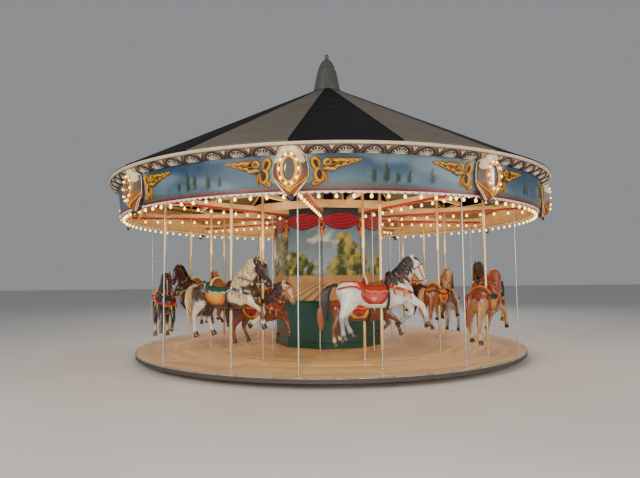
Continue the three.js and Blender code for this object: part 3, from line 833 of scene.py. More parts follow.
def makeScallops(facts):
    # the lower edge hangs in half circles: its depth is the sine of the place in each scallop
    columns = facts["scallops"] * 6
    turn = np.arange(columns) / 6 % 1
    fall = (facts["high"] - facts["low"]) * (0.30 + 0.70 * np.sin(np.pi * turn) ** 0.7)
    angles = machine["firstSeam"] + np.arange(columns) * 360 / columns
    r, d = facts["radius"], facts["depth"]
    share = np.array([0, 0.72, 1.0, 1.0, 0.0])[:, None]
    out = np.array([r + d, r + d, r + d * 0.8, r, r])[:, None]
    level = facts["high"] - share * fall[None]
    ink = np.array([(0.84, 0.81, 0.75), (0.84, 0.81, 0.75), (0.05, 0.04, 0.05), (0.4, 0.36, 0.3),
                    (0.6, 0.55, 0.45)])
    tint = np.broadcast_to(ink[:, None], (5, columns, 3)).copy()
    tint[1, turn < 0.1] = 0.06
    return [gridPart(polar(out, angles[None], level), closeRows=True, closeCols=True, tint=tint)]


def makeBeads(facts):
    # half balls: the radius falls as the cosine and the depth grows as the sine
    lift, ring = np.meshgrid(np.radians([0, 52]), np.linspace(0, 2 * np.pi, 6, endpoint=False), indexing="ij")
    wide, deep = facts["beadRadius"] * np.cos(lift), facts["beadRadius"] * 0.9 * np.sin(lift)
    dome = np.stack([wide * np.cos(ring), -deep, wide * np.sin(ring)], -1)
    foot = dome[:1] * (1, 0, 1) + (0, 0.001, 0)
    middle, tip = (row.mean(1, keepdims=True).repeat(6, 1) for row in (foot, dome[-1:]))
    bead = gridPart(np.concatenate([middle, dome, tip]), closeCols=True)
    angles = machine["firstSeam"] + np.arange(facts["beads"]) * 360 / facts["beads"]
    at = float(boardRadius(facts["beadLevel"]))
    return [copiesAt(bead, [aboutPole(a, at, facts["beadLevel"]) for a in angles])]


trimPaint = makeFinish("trimPaint", {"tinted": True, "vary": 0.08, "rough": 0.42, "bump": 0.06})
makePiece("scallop_trim", makeScallops(trim), [trimPaint])
beadPaint = makeFinish("beadPaint", {"colour": (0.50, 0.10, 0.04), "second": (0.56, 0.18, 0.06),
                                     "rough": 0.35})
makePiece("band_beads", makeBeads(trim), [beadPaint])
soffit = [(4.160, 2.738), (4.223, 2.738), (4.223, 2.756), (4.160, 2.756)]        # radius, height
makePiece("rim_soffit", [spin(soffit, 144, closeProfile=True)], [common["whitePaint"]])

crest = {
    "ring": 4.35,            # radius at which widths are counted
    "perBay": 8,
    "columns": 10,           # across one lunette
    "rows": 7,
    "halfWide": 0.138,       # middle of the black arc, and how far it reaches up the cove
    "tall": 0.152,
    "foot": 0.012,
    "arcWide": 0.0150,
    "petals": 7,
    "petalLength": 0.098,
    "petalWide": 0.00756,
    "black": (0.016, 0.013, 0.014),
    "cream": (0.66, 0.58, 0.45),
    "valley": (0.050, 0.026, 0.020),
    "ground": (0.150, 0.098, 0.072),
    "leaf": (0.12, 0.030, 0.018),
    "line": (0.030, 0.022, 0.035),
    "fillers": [             # in the gap beside an arc: steps, width, depth, colour, lift, places
        (6, 0.0105, 0.007, "leaf", 0.002, [(0, 0.020), (-0.012, 0.075), (-0.034, 0.125), (-0.060, 0.158)]),
        (5, 0.0085, 0.006, "cream", 0.003, [(-0.002, 0.100), (-0.012, 0.150), (-0.030, 0.166)]),
    ],
}


def stroke(path, wide, deep, tint, lift=0.0, taper=None, sides=8):
    # An oval bar along a path drawn flat, x along and z up, with y the distance off the surface.
    # Its size is the taper, or else grows from the start and shrinks to the end in step with the place.
    path = np.asarray(path, float)
    t = np.linspace(0, 1, len(path))
    rounded = np.clip(np.minimum(t * 7, (1 - t) * 5), 0.15, 1) ** 0.6
    size = rounded if taper is None else np.broadcast_to(taper, t.shape)
    points = np.stack([path[:, 0], np.full(len(path), lift), path[:, 1]], -1)
    section = ovalSection(wide, deep, sides)
    return carry(points, section[None] * size[:, None, None], (0, 1, 0), tint=np.array(tint))


def coveLine(facts):
    # corners of the cove's section, and the length along it up to each
    face = np.array(facts["face"])[2:]
    return face, np.concatenate([[0], np.cumsum(np.hypot(*np.diff(face, axis=0).T))])


def ontoCove(part):
    # flat x becomes an arc, z a length up the cove, and y a distance off it, square to the cove
    face, length = coveLine(boards)
    x, off, v = part["points"].T
    radius, level = (np.interp(v, length, face[:, k]) for k in (0, 1))
    slope = np.gradient(face, length, axis=0)
    out = unit(np.stack([np.interp(v, length, slope[:, 1]), -np.interp(v, length, slope[:, 0])], -1))
    around = np.degrees(x / crest["ring"])
    return {**part, "points": polar(radius + out[:, 0] * off, around, level + out[:, 1] * off)}


def makeLunette(facts):
    # a half ellipse round a fan of petals: each petal's width is the sine of the place along it
    turn = np.linspace(-0.04, np.pi + 0.04, 17)
    arc = np.stack([facts["halfWide"] * np.cos(turn), facts["foot"] + facts["tall"] * np.sin(turn)], -1)
    parts = [stroke(arc, facts["arcWide"], 0.008, facts["black"], 0.003, taper=1.0, sides=5),
             stroke(arc * 0.88 + (0, 0.001), 0.0035, 0.005, facts["cream"], 0.002, taper=1.0, sides=4)]
    t = np.linspace(0, 1, 5)
    for k in range(facts["petals"]):
        way = np.pi * (k + 0.5) / facts["petals"]
        length = facts["petalLength"] * (1.12 + 0.06 * np.cos(2 * way) if k % 2 else 0.86)
        reach = 0.016 + length * t
        path = np.stack([reach * np.cos(way) * 1.02, facts["foot"] + reach * np.sin(way) * 1.12], -1)
        width = 0.25 + np.sin(np.pi * (0.08 + 0.80 * t)) ** 1.2
        parts.append(stroke(path, facts["petalWide"], 0.007, facts["cream"], 0.003, width, 4))
    hub = np.array([(-0.020, 0.006), (0, 0.012), (0.020, 0.006)]) + (0, facts["foot"])
    parts.append(stroke(hub, 0.010, 0.010, facts["cream"], 0.003, sides=6))
    half = np.pi * facts["ring"] / (facts["perBay"] * machine["bays"])
    for side in (-1, 1):
        for steps, wide, deep, colour, lift, places in facts["fillers"]:
            line = smoothRows((np.array(places) + (half, 0)) * (side, 1), steps)
            parts.append(stroke(line, wide, deep, facts[colour], lift, sides=4))
    return [ontoCove(p) for p in parts]


def makeCrest(facts):
    # a ground that follows the cove, darker inside each lunette, with the carving copied round it
    face, length = coveLine(boards)
    v = np.unique(np.concatenate([np.linspace(0, length[-1], facts["rows"]), length, [facts["foot"] * 0.8]]))
    count = facts["perBay"] * machine["bays"]
    columns = count * facts["columns"]
    share = (np.arange(columns) / facts["columns"] + 0.5) % 1 - 0.5
    uu, vv = np.meshgrid(share * 2 * np.pi * facts["ring"] / count, v)
    inside = np.hypot(uu / facts["halfWide"], (vv - facts["foot"]) / facts["tall"]) < 1
    tint = np.where(inside[..., None], np.array(facts["valley"]), np.array(facts["ground"]))
    tint = np.where((vv < facts["foot"])[..., None], np.array(facts["line"]), tint)
    radius, level = (np.interp(v, length, face[:, k]) for k in (0, 1))
    angles = machine["firstSeam"] + np.arange(columns) * 360 / columns
    front = polar(radius[:, None] + 0.0010, angles[None], level[:, None])
    back = polar(radius[[-1, 0], None] - 0.002, angles[None], level[[-1, 0], None])
    ground = gridPart(np.concatenate([front, back]), closeRows=True, closeCols=True,
                      tint=np.concatenate([tint, tint[[-1, 0]]]))
    stands = [aboutPole(machine["firstSeam"] + 360 / count * k) for k in range(count)]
    return [ground] + [copiesAt(p, stands) for p in makeLunette(facts)]


crestPaint = makeFinish("crestPaint", {"tinted": True, "vary": 0.2, "grain": 20.0, "fine": 120.0,
                                       "rough": 0.45, "bump": 0.3, "worn": (0.12, 0.07, 0.05),
                                       "wornFrom": 0.64})
makePiece("carved_crest", makeCrest(crest), [crestPaint], sharp=60)

corniceProfile = [(4.291, 3.3455), (4.446, 3.3455), (4.450, 3.349), (4.458, 3.350), (4.464, 3.354),
                  (4.466, 3.360), (4.473, 3.362), (4.479, 3.367), (4.4800, 3.374), (4.477, 3.380),
                  (4.470, 3.3845), (4.291, 3.3845)]
makePiece("cornice_moulding", [spin(corniceProfile, 216, closeProfile=True)], [common["creamPaint"]],
          standsFor=["cornice"])
print("rim finished")


# Gold scrolls beside every shield

scrolls = {
    "ring": 4.27,            # radius at which lengths along a board are counted
    "depth": 0.018,
    "shadowLineWide": 0.008,
    "leafShadowLine": 0.010,
    # loops: place from the seam, height, half width, half height, tilt, first angle, sweep, thickness
    "loops": [
        (0.346, 3.122, 0.054, 0.082, 24, 262, -345, 0.0215),
        (0.392, 2.955, 0.064, 0.092, 10, 60, 330, 0.0225),
        (0.505, 3.128, 0.050, 0.044, 20, 215, -400, 0.0200),
        (0.338, 2.852, 0.050, 0.022, 8, 20, 420, 0.0150),
    ],
    # dark ovals painted in the hollows of the loops as shade: place, height, half width, half height, tilt
    "shadedHollows": [(0.350, 3.122, 0.036, 0.066, 24), (0.395, 2.955, 0.045, 0.074, 10),
                (0.620, 3.110, 0.080, 0.030, 8)],
    # the lower and the upper edge of the wing, the rib between them, and the tail:
    # thickness, number of leaves, the side that they grow on, and places
    "strands": [
        (0.018, 6, 1, [(0.430, 3.045), (0.520, 3.026), (0.630, 3.056), (0.760, 3.096), (0.880, 3.134),
                       (0.965, 3.160)]),
        (0.018, 5, -1, [(0.560, 3.160), (0.650, 3.170), (0.740, 3.166), (0.830, 3.174), (0.965, 3.168)]),
        (0.012, 0, 1, [(0.560, 3.095), (0.660, 3.118), (0.760, 3.134), (0.860, 3.150), (0.940, 3.163)]),
        (0.022, 0, 1, [(0.430, 3.005), (0.478, 2.950), (0.484, 2.890), (0.462, 2.838)]),
    ],
    "leafLength": 0.112,
    "leafWide": 0.0230,
    "leafLift": 0.034,
    "leafStep": 0.0048,
    "gold": (0.43, 0.165, 0.002),
    # the gold of the painted highlight: on each loop's side towards the shield and towards each leaf's tip
    "goldHighlight": (0.62, 0.305, 0.004),
    # the painted shade at each leaf's root, under the tip of the leaf before it
    "leafRootShade": (0.15, 0.050, 0.003),
    # the dark of the painted shadow round the gilt carving and in its hollows
    "outline": (0.030, 0.009, 0.006),
}


def leafStroke(path, wide, tint, facts, taper=None):
    # a gilt bar with a dark, wider and flatter one under it, painted as the carving's shadow
    return [stroke(path, wide, facts["depth"], tint, 0.006, taper, 6),
            stroke(path, wide + facts["shadowLineWide"], 0.005, facts["outline"], 0.003, taper, 4)]


def leaned(points, tilt):
    # flat points turned by an angle
    c, s = math.cos(math.radians(tilt)), math.sin(math.radians(tilt))
    return points @ np.array([(c, s), (-s, c)])


def scrollCluster(facts):
    # an oval loop winds in: its size falls in step with the angle; leaves cross the strands aslant
    parts = []
    for x, z, w, h, tilt, first, sweep, thick in facts["loops"]:
        t = np.linspace(0, 1, 22)
        turn = np.radians(first + sweep * t)
        oval = np.stack([w * np.cos(turn), h * np.sin(turn)], -1) * (1 - 0.22 * t)[:, None]
        path = leaned(oval, tilt) + (x, z)
        # each loop is painted paler on its side towards the shield: a painted highlight
        shade = softStep(-path[:, 0], -x - 0.5 * w, -x + 0.5 * w)[:, None]
        colour = np.array(facts["gold"]) * (1 - shade) + np.array(facts["goldHighlight"]) * shade
        rings = np.concatenate([colour[:1], colour, colour[-1:]])[:, None].repeat(6, 1)
        body, under = leafStroke(path, thick, (1, 1, 1), facts)
        body["tint"] = rings.reshape(-1, 3)
        parts += [body, under]
    # painted shade in the hollow of each loop
    for x, z, w, h, tilt in facts["shadedHollows"]:
        t = np.linspace(-1, 1, 9)
        path = leaned(t[:, None] * (0, h), tilt) + (x, z)
        swell = np.sqrt(np.clip(1 - t**2, 0.01, 1))
        parts.append(stroke(path, w, 0.004, facts["outline"], 0.001, taper=swell))
    for wide, count, side, rows in facts["strands"]:
        line = smoothRows(rows, 20)
        fade = 1 - 0.5 * np.linspace(0, 1, 20)
        parts += leafStroke(line, wide * 0.8, facts["gold"], facts, taper=fade)
        way = unit(np.gradient(line, axis=0))
        for k in range(count):
            share = (k + 0.1) / count
            at = int(share * 19)
            aside = np.array([-way[at][1], way[at][0]]) * side
            t = np.linspace(0, 1, 6)[:, None]
            size = 1.10 - 0.50 * share
            rise = facts["leafWide"] * size * (1.5 * np.sin(2.2 * t) - 0.6)
            path = line[at] + way[at] * facts["leafLength"] * size * t + aside * rise
            width = np.sin(np.pi * (0.16 + 0.76 * t[:, 0])) * size
            lift = facts["leafLift"] - facts["leafStep"] * k
            body = stroke(path, facts["leafWide"], 0.0042, (1, 1, 1), lift, width, 5)
            # each leaf is painted from shade at its root to a highlight at its tip
            shade = softStep(np.arange(8.0), 0.0, 5.5)[:, None]
            colour = np.array(facts["leafRootShade"]) * (1 - shade) + np.array(facts["goldHighlight"]) * shade
            body["tint"] = colour.repeat(5, 0)
            # the dark, wider bar under each leaf is painted shadow
            dark = facts["leafWide"] + facts["leafShadowLine"]
            parts += [body, stroke(path, dark, 0.0022, facts["outline"], lift - 0.001, width, 4)]
    return parts


def ontoBoards(part, seam, side):
    # flat x becomes an arc from the seam, y a distance off the board, and z stays
    x, off, z = part["points"].T
    return {**part, "points": polar(boardRadius(z) + off, seam + side * np.degrees(x / scrolls["ring"]), z)}


scrollPaint = makeFinish("scrollPaint", {"tinted": True, "vary": 0.25, "grain": 16.0, "rough": 0.5,
                                         "specular": 0.3, "bump": 0.2, "worn": (0.16, 0.07, 0.03),
                                         "wornFrom": 0.66})
cluster = scrollCluster(scrolls)
for number in range(machine["bays"]):
    both = [ontoBoards(p, seams[number], side) for p in cluster for side in (-1, 1)]
    makePiece(f"board_scrolls_{number + 1}", both, [scrollPaint])
print("scrolls carved")


# Canopy: eighteen gores of cloth over the rafters, dark and pale in turn

canopy = {
    "gores": 18,
    "columns": 14,           # across one gore
    "rows": 30,
    "eaveRadius": 4.480,
    "eave": 3.399,
    "apexRadius": 0.302,
    "apex": 5.648,
    "thickness": 0.004,
    "sag": 0.026,            # of the cloth between two rafters
    "skirt": 0.013,          # the cloth turned down over the cornice
    "weltLift": 0.002,
    "hemInset": 0.006,
    "hemLevel": 3.3925,
    "hemSides": 216,
    "dark": (0.007, 0.007, 0.008),
    "pale": (0.150, 0.132, 0.105),
}


def canopyGrid(facts):
    # A cone from the eave to the apex. Between two rafters the cloth sinks by the sag times the
    # sine of the place across the gore, most at the middle of the slope, with faint cross folds.
    columns = facts["gores"] * facts["columns"]
    angles = machine["firstSeam"] + np.arange(columns) * 360 / columns
    across = np.arange(columns) % facts["columns"] / facts["columns"]
    t = np.linspace(0, 1, facts["rows"])[:, None]
    r = facts["eaveRadius"] + (facts["apexRadius"] - facts["eaveRadius"]) * t
    z = facts["eave"] + (facts["apex"] - facts["eave"]) * t
    bow = np.sin(np.pi * across)[None] ** 1.3
    sag = facts["sag"] * bow * np.sin(np.pi * np.clip(t * 1.02, 0, 1)) ** 0.7
    turn = np.radians(angles)[None]
    ripple = 0.0035 * np.sin(r * 31 + 5 * np.sin(turn * 9)) * bow * np.sin(np.pi * t)
    cone = polar(r, angles[None], z - (sag + ripple))
    skirt = polar(facts["eaveRadius"], angles[None], facts["eave"] - facts["skirt"])
    points = np.concatenate([skirt, cone])
    gore = (np.arange(columns) // facts["columns"]) % 2
    uv = np.stack(np.broadcast_arrays(turn * 2.2, np.concatenate([[[-0.01]], 4.9 * t])), -1)
    slots = np.broadcast_to(gore[None], (len(points) - 1, columns))
    return gridPart(points, closeCols=True, slot=slots, uv=uv)


def makeCloth(name, look):
    # a woven cloth: two wave patterns at right angles give the threads, and noise the dirt
    material = makeFinish(name, look)
    tree = material.node_tree
    shader = tree.nodes["Principled BSDF"]
    place = addNode(tree, "TexCoord").outputs["UV"]
    warp, weft = (addNode(tree, "TexWave", {"Vector": place, "Scale": look["threads"]}, bands_direction=way)
                  for way in ("X", "Y"))
    weave = mathNode(tree, "MULTIPLY", warp.outputs["Fac"], weft.outputs["Fac"])
    first = shader.inputs["Normal"].links[0].from_node.outputs["Normal"]
    bump = addNode(tree, "Bump", {"Height": weave, "Strength": 0.2, "Distance": 0.001, "Normal": first})
    tree.links.new(bump.outputs["Normal"], shader.inputs["Normal"])
    return material


canopyPart = canopyGrid(canopy)
clothLook = {"byUv": True, "threads": 120.0, "vary": 0.14, "grain": 1.6, "fine": 40.0, "rough": 0.92,
             "specular": 0.15, "bump": 0.2, "wornScale": 2.5, "wornFrom": 0.63, "wornMost": 0.35}
canopyPale = makeCloth("canopyPale", {**clothLook, "colour": canopy["pale"], "worn": (0.090, 0.078, 0.062)})
canopyDark = makeCloth("canopyDark", {**clothLook, "colour": canopy["dark"], "worn": (0.014, 0.014, 0.014)})
roofCloth = makePiece("canopy_cloth", [canopyPart], [canopyDark, canopyPale],
                      standsFor=["canopy"], sharp=60)
wall = roofCloth.modifiers.new("thickness", "SOLIDIFY")
wall.thickness = canopy["thickness"]
wall.offset = -1


def makeSeamPiping(facts):
    # a flat welt over each rafter, and a rolled hem round the eave
    t = np.linspace(0.004, 0.998, 24)
    r = facts["eaveRadius"] + (facts["apexRadius"] - facts["eaveRadius"]) * t
    z = facts["eave"] + facts["weltLift"] + (facts["apex"] - facts["eave"]) * t
    path = np.stack([np.zeros_like(r), -r, z], -1)
    welt = carry(path, barSection(0.030, 0.005, 0.0018), (0, -0.47, 0.88))
    around = machine["firstSeam"] + np.arange(facts["hemSides"]) * 360 / facts["hemSides"]
    ring = polar(facts["eaveRadius"] - facts["hemInset"], around, facts["hemLevel"])
    hem = carry(ring, ovalSection(0.0055, 0.0055, 8), (0, 0, 1), closed=True)
    angles = machine["firstSeam"] + np.arange(facts["gores"]) * 360 / facts["gores"]
    return [copiesAt(welt, [aboutPole(a) for a in angles])], [hem]


welts, hem = makeSeamPiping(canopy)
darkWelt = makePiece("canopy_welts", welts, [canopyDark])
eaveHem = makePiece("canopy_hem", hem, [canopyDark])

pinnacle = {
    "profile": [(0.0, 5.6508), (0.3065, 5.6508), (0.3065, 5.657), (0.301, 5.690), (0.284, 5.760),
                (0.260, 5.880), (0.230, 6.030), (0.198, 6.165), (0.189, 6.204), (0.181, 6.212),
                (0.172, 6.220), (0.178, 6.230), (0.174, 6.242), (0.155, 6.285), (0.125, 6.335),
                (0.080, 6.388), (0.045, 6.422), (0.036, 6.434), (0.041, 6.446), (0.048, 6.464),
                (0.049, 6.480), (0.044, 6.500), (0.030, 6.524), (0.0, 6.5398)],
    "ribs": 18,
    "ribHeights": (5.662, 5.70, 5.80, 5.90, 6.02, 6.15),
}


def makePinnacle(facts):
    # a cone of sheet metal turned about the pole, with a standing seam carried up it eighteen times
    outline = np.array(facts["profile"][1:9])
    radii = np.interp(facts["ribHeights"], outline[:, 1], outline[:, 0])
    path = np.stack([np.zeros_like(radii), -radii, facts["ribHeights"]], -1)
    rib = carry(path, ovalSection(0.005, 0.004, 6), (0, -1, 0.2))
    angles = machine["firstSeam"] + np.arange(facts["ribs"]) * 360 / facts["ribs"]
    return [spin(facts["profile"], 72), copiesAt(rib, [aboutPole(a) for a in angles])]


greyMetal = makeFinish("greyMetal", {"colour": (0.115, 0.120, 0.115), "second": (0.085, 0.088, 0.085),
                                     "rough": 0.5, "metal": 0.3, "stretch": (1, 1, 0.3),
                                     "worn": (0.06, 0.055, 0.05)})
makePiece("pinnacle_cap", makePinnacle(pinnacle), [greyMetal], standsFor=["pinnacle"])
print("roof covered")


# Red swags, tails and tassels on the drum

swags = {
    "topMiddle": 2.830,
    "topCorner": 2.714,
    "lowMiddle": 2.492,
    "lowCorner": 2.640,
    "columns": 24,
    "rows": 34,
    "folds": 5.2,
    "foldDepth": 0.026,
    "foldSag": 0.150,
    "inset": 0.004,          # of the cloth's ends from the drum's corners
    "tailWidth": 0.060,
    "tailLow": 2.432,
    "clothRun": 7.02,        # sewn lengths of the swags and of the tails
    "tailRun": 5.76,
    "thickness": 0.0016,
    "red": (0.33, 0.003, 0.026),
    "shade": 0.18,            # painted shade: how dark the cloth is painted at the bottom of a fold
}


def makeSwags(facts):
    # s runs across from -1 to 1 and t from the arched top edge down to the hanging lower one.
    # The folds are a cosine of the depth below a parabola that hangs from the two corners.
    half, flat = drumSide(facts["inset"])
    s, t = np.meshgrid(np.linspace(-1, 1, facts["columns"]), np.linspace(0, 1, facts["rows"]))
    gather = 1 - np.abs(s) ** 2.2
    high = facts["topCorner"] + (facts["topMiddle"] - facts["topCorner"]) * gather
    low = facts["lowCorner"] + (facts["lowMiddle"] - facts["lowCorner"]) * (1 - np.abs(s) ** 1.8)
    z = high + (low - high) * t
    hang = facts["topMiddle"] - z - facts["foldSag"] * (1 - s**2)
    place = np.stack([s * 1.4, t * 0.8, np.zeros_like(s)], -1)
    turn = 2 * np.pi * facts["folds"] * hang / (facts["topMiddle"] - facts["lowMiddle"]) + 0.5 * np.sin(3 * s)
    wave = (0.5 + 0.5 * np.cos(turn + 3.2 * noise3(place, 3.6, 11))) ** 0.8
    y = -flat - 0.010 - 0.010 * gather - facts["foldDepth"] * wave * (0.30 + 0.70 * gather)
    # the tint is painted light: painted shade in each fold's valley, darker further down, a painted highlight
    # on the ridges, and painted shade at the hem
    depth = (0.45 + 0.55 * t) * (1 - facts["shade"])
    hem = 1 - 0.5 * softStep(t, 0.90, 1.0)
    tint = np.repeat(((1.12 - depth * (1 - wave)) * hem)[..., None], 3, 2)
    swag = gridPart(np.stack([s * half, y, z], -1), uv=np.stack([s * half * 3, t * 2], -1), tint=tint)
    return [copiesAt(swag, [aboutPole(a) for a in bayCentres])]


def makeTails(facts):
    # a tail is a strip that opens downwards in zigzag pleats: a cosine across, growing with t
    half, flat = drumSide(facts["inset"])
    s, t = np.meshgrid(np.linspace(0, 1, 16), np.linspace(0, 1, 7))
    width = facts["tailWidth"] * (0.55 + 0.45 * t)
    x = half - s * width
    z = facts["topCorner"] + 0.02 - t * (facts["topCorner"] + 0.02 - facts["tailLow"] - 0.09 * s)
    wave = 0.5 + 0.5 * np.cos(2 * np.pi * 3 * s)
    y = -flat - 0.014 - 0.018 * (0.4 + 0.6 * t) * wave
    # the tint is painted shade in the valleys of the pleats and a painted highlight on their ridges
    tint = np.repeat((facts["shade"] + (1.15 - facts["shade"]) * wave)[..., None], 3, 2)
    tail = gridPart(np.stack([x, y, z], -1), uv=np.stack([s * 0.3, t], -1), tint=tint)
    other = moved(tail, np.diag([-1, 1, 1, 1]))
    other["quads"] = other["quads"][:, ::-1]
    return [copiesAt(p, [aboutPole(a) for a in bayCentres]) for p in (tail, other)]


redCloth = makeCloth("redCloth", {"byUv": True, "threads": 90.0, "colour": swags["red"], "tinted": True,
                                  "vary": 0.18, "grain": 5.0, "rough": 0.62, "sheen": 0.35, "bump": 0.1})
for name, run, parts in (("swag_cloth", swags["clothRun"], makeSwags(swags)),
                         ("swag_tails", swags["tailRun"], makeTails(swags))):
    cloth = makePiece(name, parts, [redCloth], standsFor=["swag_valance"], closed=False,
                      sharp=180)
    wall = cloth.modifiers.new("thickness", "SOLIDIFY")
    wall.thickness = swags["thickness"]
    wall.offset = 0


tassels = {
    # radius and height, from the top of the turned head to the end of the cords
    "outline": [(0.0, 0.0), (0.010, -0.002), (0.017, -0.014), (0.012, -0.026), (0.008, -0.030),
                (0.013, -0.036), (0.019, -0.060), (0.023, -0.105), (0.024, -0.128), (0.0, -0.126)],
    "knot": [(0.0, 0.022), (0.020, 0.014), (0.026, 0.0), (0.020, -0.014), (0.0, -0.022)],
    "cords": 8,
    "skirt": -0.04,          # below it the cords ripple
    "loop": (0.034, 0.040),
    "loopThick": 0.006,
    # of the tassel and of the knot: distance off the drum's corner, height, stretch of its three axes
    "places": [(0.034, 2.545, (1.4, 1.4, 1.25)), (0.026, 2.700, (1.3, 1.0, 1.5))],
}


def makeTassels(facts):
    # a turned head with a skirt whose radius ripples with the angle, a loop above it and a knot on top
    rows = np.array(facts["outline"])
    angles = np.arange(24) * 15.0
    ripple = 1 + 0.10 * np.cos(np.radians(angles) * facts["cords"]) * (rows[:, 1:] < facts["skirt"])
    skirt = gridPart(polar(rows[:, :1] * ripple, angles[None], rows[:, 1:]), closeCols=True)
    turn = np.linspace(0, 2 * np.pi, 20, endpoint=False)
    wide, tall = facts["loop"]
    loop = np.stack([wide * np.sin(turn), np.zeros_like(turn), tall * np.cos(turn) + 0.036], -1)
    cord = carry(loop, ovalSection(facts["loopThick"], facts["loopThick"], 8), (0, 1, 0), closed=True)
    hung, top = ([aboutPole(a, machine["drumCorner"] + off, height) @ np.diag([*stretch, 1]) for a in seams]
                 for off, height, stretch in facts["places"])
    return [copiesAt(skirt, hung), copiesAt(cord, hung), copiesAt(spin(facts["knot"], 24), top)]


tasselCloth = makeFinish("tasselCloth", {"colour": (0.80, 0.33, 0.03), "second": (0.62, 0.13, 0.015),
                                         "vary": 0.2, "fine": 160.0, "stretch": (1, 1, 0.15), "rough": 0.6,
                                         "sheen": 0.3, "bump": 0.5})
makePiece("swag_tassels", makeTassels(tassels), [tasselCloth])
print("swags hung")


# Bulbs: one small shape, repeated under the rim, along the sweeps and round the shields

bulb = {
    "glass": [(0.0100, 0.0), (0.0130, -0.010), (0.0235, -0.028), (0.0285, -0.046), (0.0250, -0.062),
              (0.0130, -0.073), (0.0, -0.0765)],
    "socket": [(0.0, 0.0), (0.0170, 0.0), (0.0170, -0.012), (0.0150, -0.016), (0.0150, -0.036),
               (0.0, -0.036)],
    "glassDown": 0.034,      # where the glass begins, under the top of its socket
    "sides": 9,
    "colour": (1.0, 0.62, 0.17),
    "paler": (1.0, 0.70, 0.28),
    "size": 0.82,
    "strength": 4.0,
    "rimRadius": 4.192,
    "rimLevel": 2.7385,
    "perBay": 12,
    "sweepFrom": 1.34,
    "sweepStep": 0.262,
    "perSweep": 11,
    "sweepGap": 0.0003,      # how far a socket is let into the sweep
}


def makeBulbFinish(facts):
    # warm glass that shines, its colour a little paler where a noise is high
    material, tree, shader = newNodes("bulbGlass")
    place = addNode(tree, "TexCoord").outputs["Object"]
    cloud = noiseNode(tree, place, 40.0, 2.0)
    warm = mixColour(tree, rangeNode(tree, cloud, 0.3, 0.7, 0.0, 0.35), facts["colour"], facts["paler"])
    tree.links.new(warm, shader.inputs["Base Color"])
    tree.links.new(warm, shader.inputs["Emission Color"])
    shader.inputs["Emission Strength"].default_value = facts["strength"]
    shader.inputs["Roughness"].default_value = 0.25
    return material


bulbGlass = makeBulbFinish(bulb)
socketBlack = makeFinish("socketBlack", {"colour": (0.03, 0.03, 0.03), "rough": 0.4, "coat": 0.2})


def bulbSet(facts, places, scale=(1, 1, 1)):
    # a socket, a glass below it and the disc that closes the glass, all turned profiles
    shrink, sides, down = np.diag([*scale, 1]), facts["sides"], facts["glassDown"]
    socket = moved(spin(facts["socket"], sides), shrink)
    glass = moved(spin([(r, z - down) for r, z in facts["glass"]], sides), shrink)
    cap = moved(spin([(0.0, -down), (facts["glass"][0][0], -down)], sides), shrink)
    return [copiesAt(glass, places), copiesAt(cap, places)], [copiesAt(socket, places)]


bulbScale = (bulb["size"],) * 3
rimAngles = seams[0] + (np.arange(machine["bays"] * bulb["perBay"]) + 0.5) * bayAngle / bulb["perBay"]
rimPlaces = [aboutPole(a, bulb["rimRadius"], bulb["rimLevel"]) for a in rimAngles]
rimGlass, rimSockets = bulbSet(bulb, rimPlaces, bulbScale)
sweepRadii = bulb["sweepFrom"] + bulb["sweepStep"] * np.arange(bulb["perSweep"])
sweepPlaces = [aboutPole(a, r, underSweep(r) + bulb["sweepGap"]) for a in seams for r in sweepRadii]
sweepGlass, sweepSockets = bulbSet(bulb, sweepPlaces, bulbScale)
makePiece("rim_bulbs", rimGlass, [bulbGlass])
makePiece("rim_sockets", rimSockets, [socketBlack])
makePiece("sweep_bulbs", sweepGlass, [bulbGlass])
makePiece("sweep_sockets", sweepSockets, [socketBlack])
print("bulbs fitted")


# Shields over the joints of the boards: a mirror in a ring of lamps, with carved crown and fan

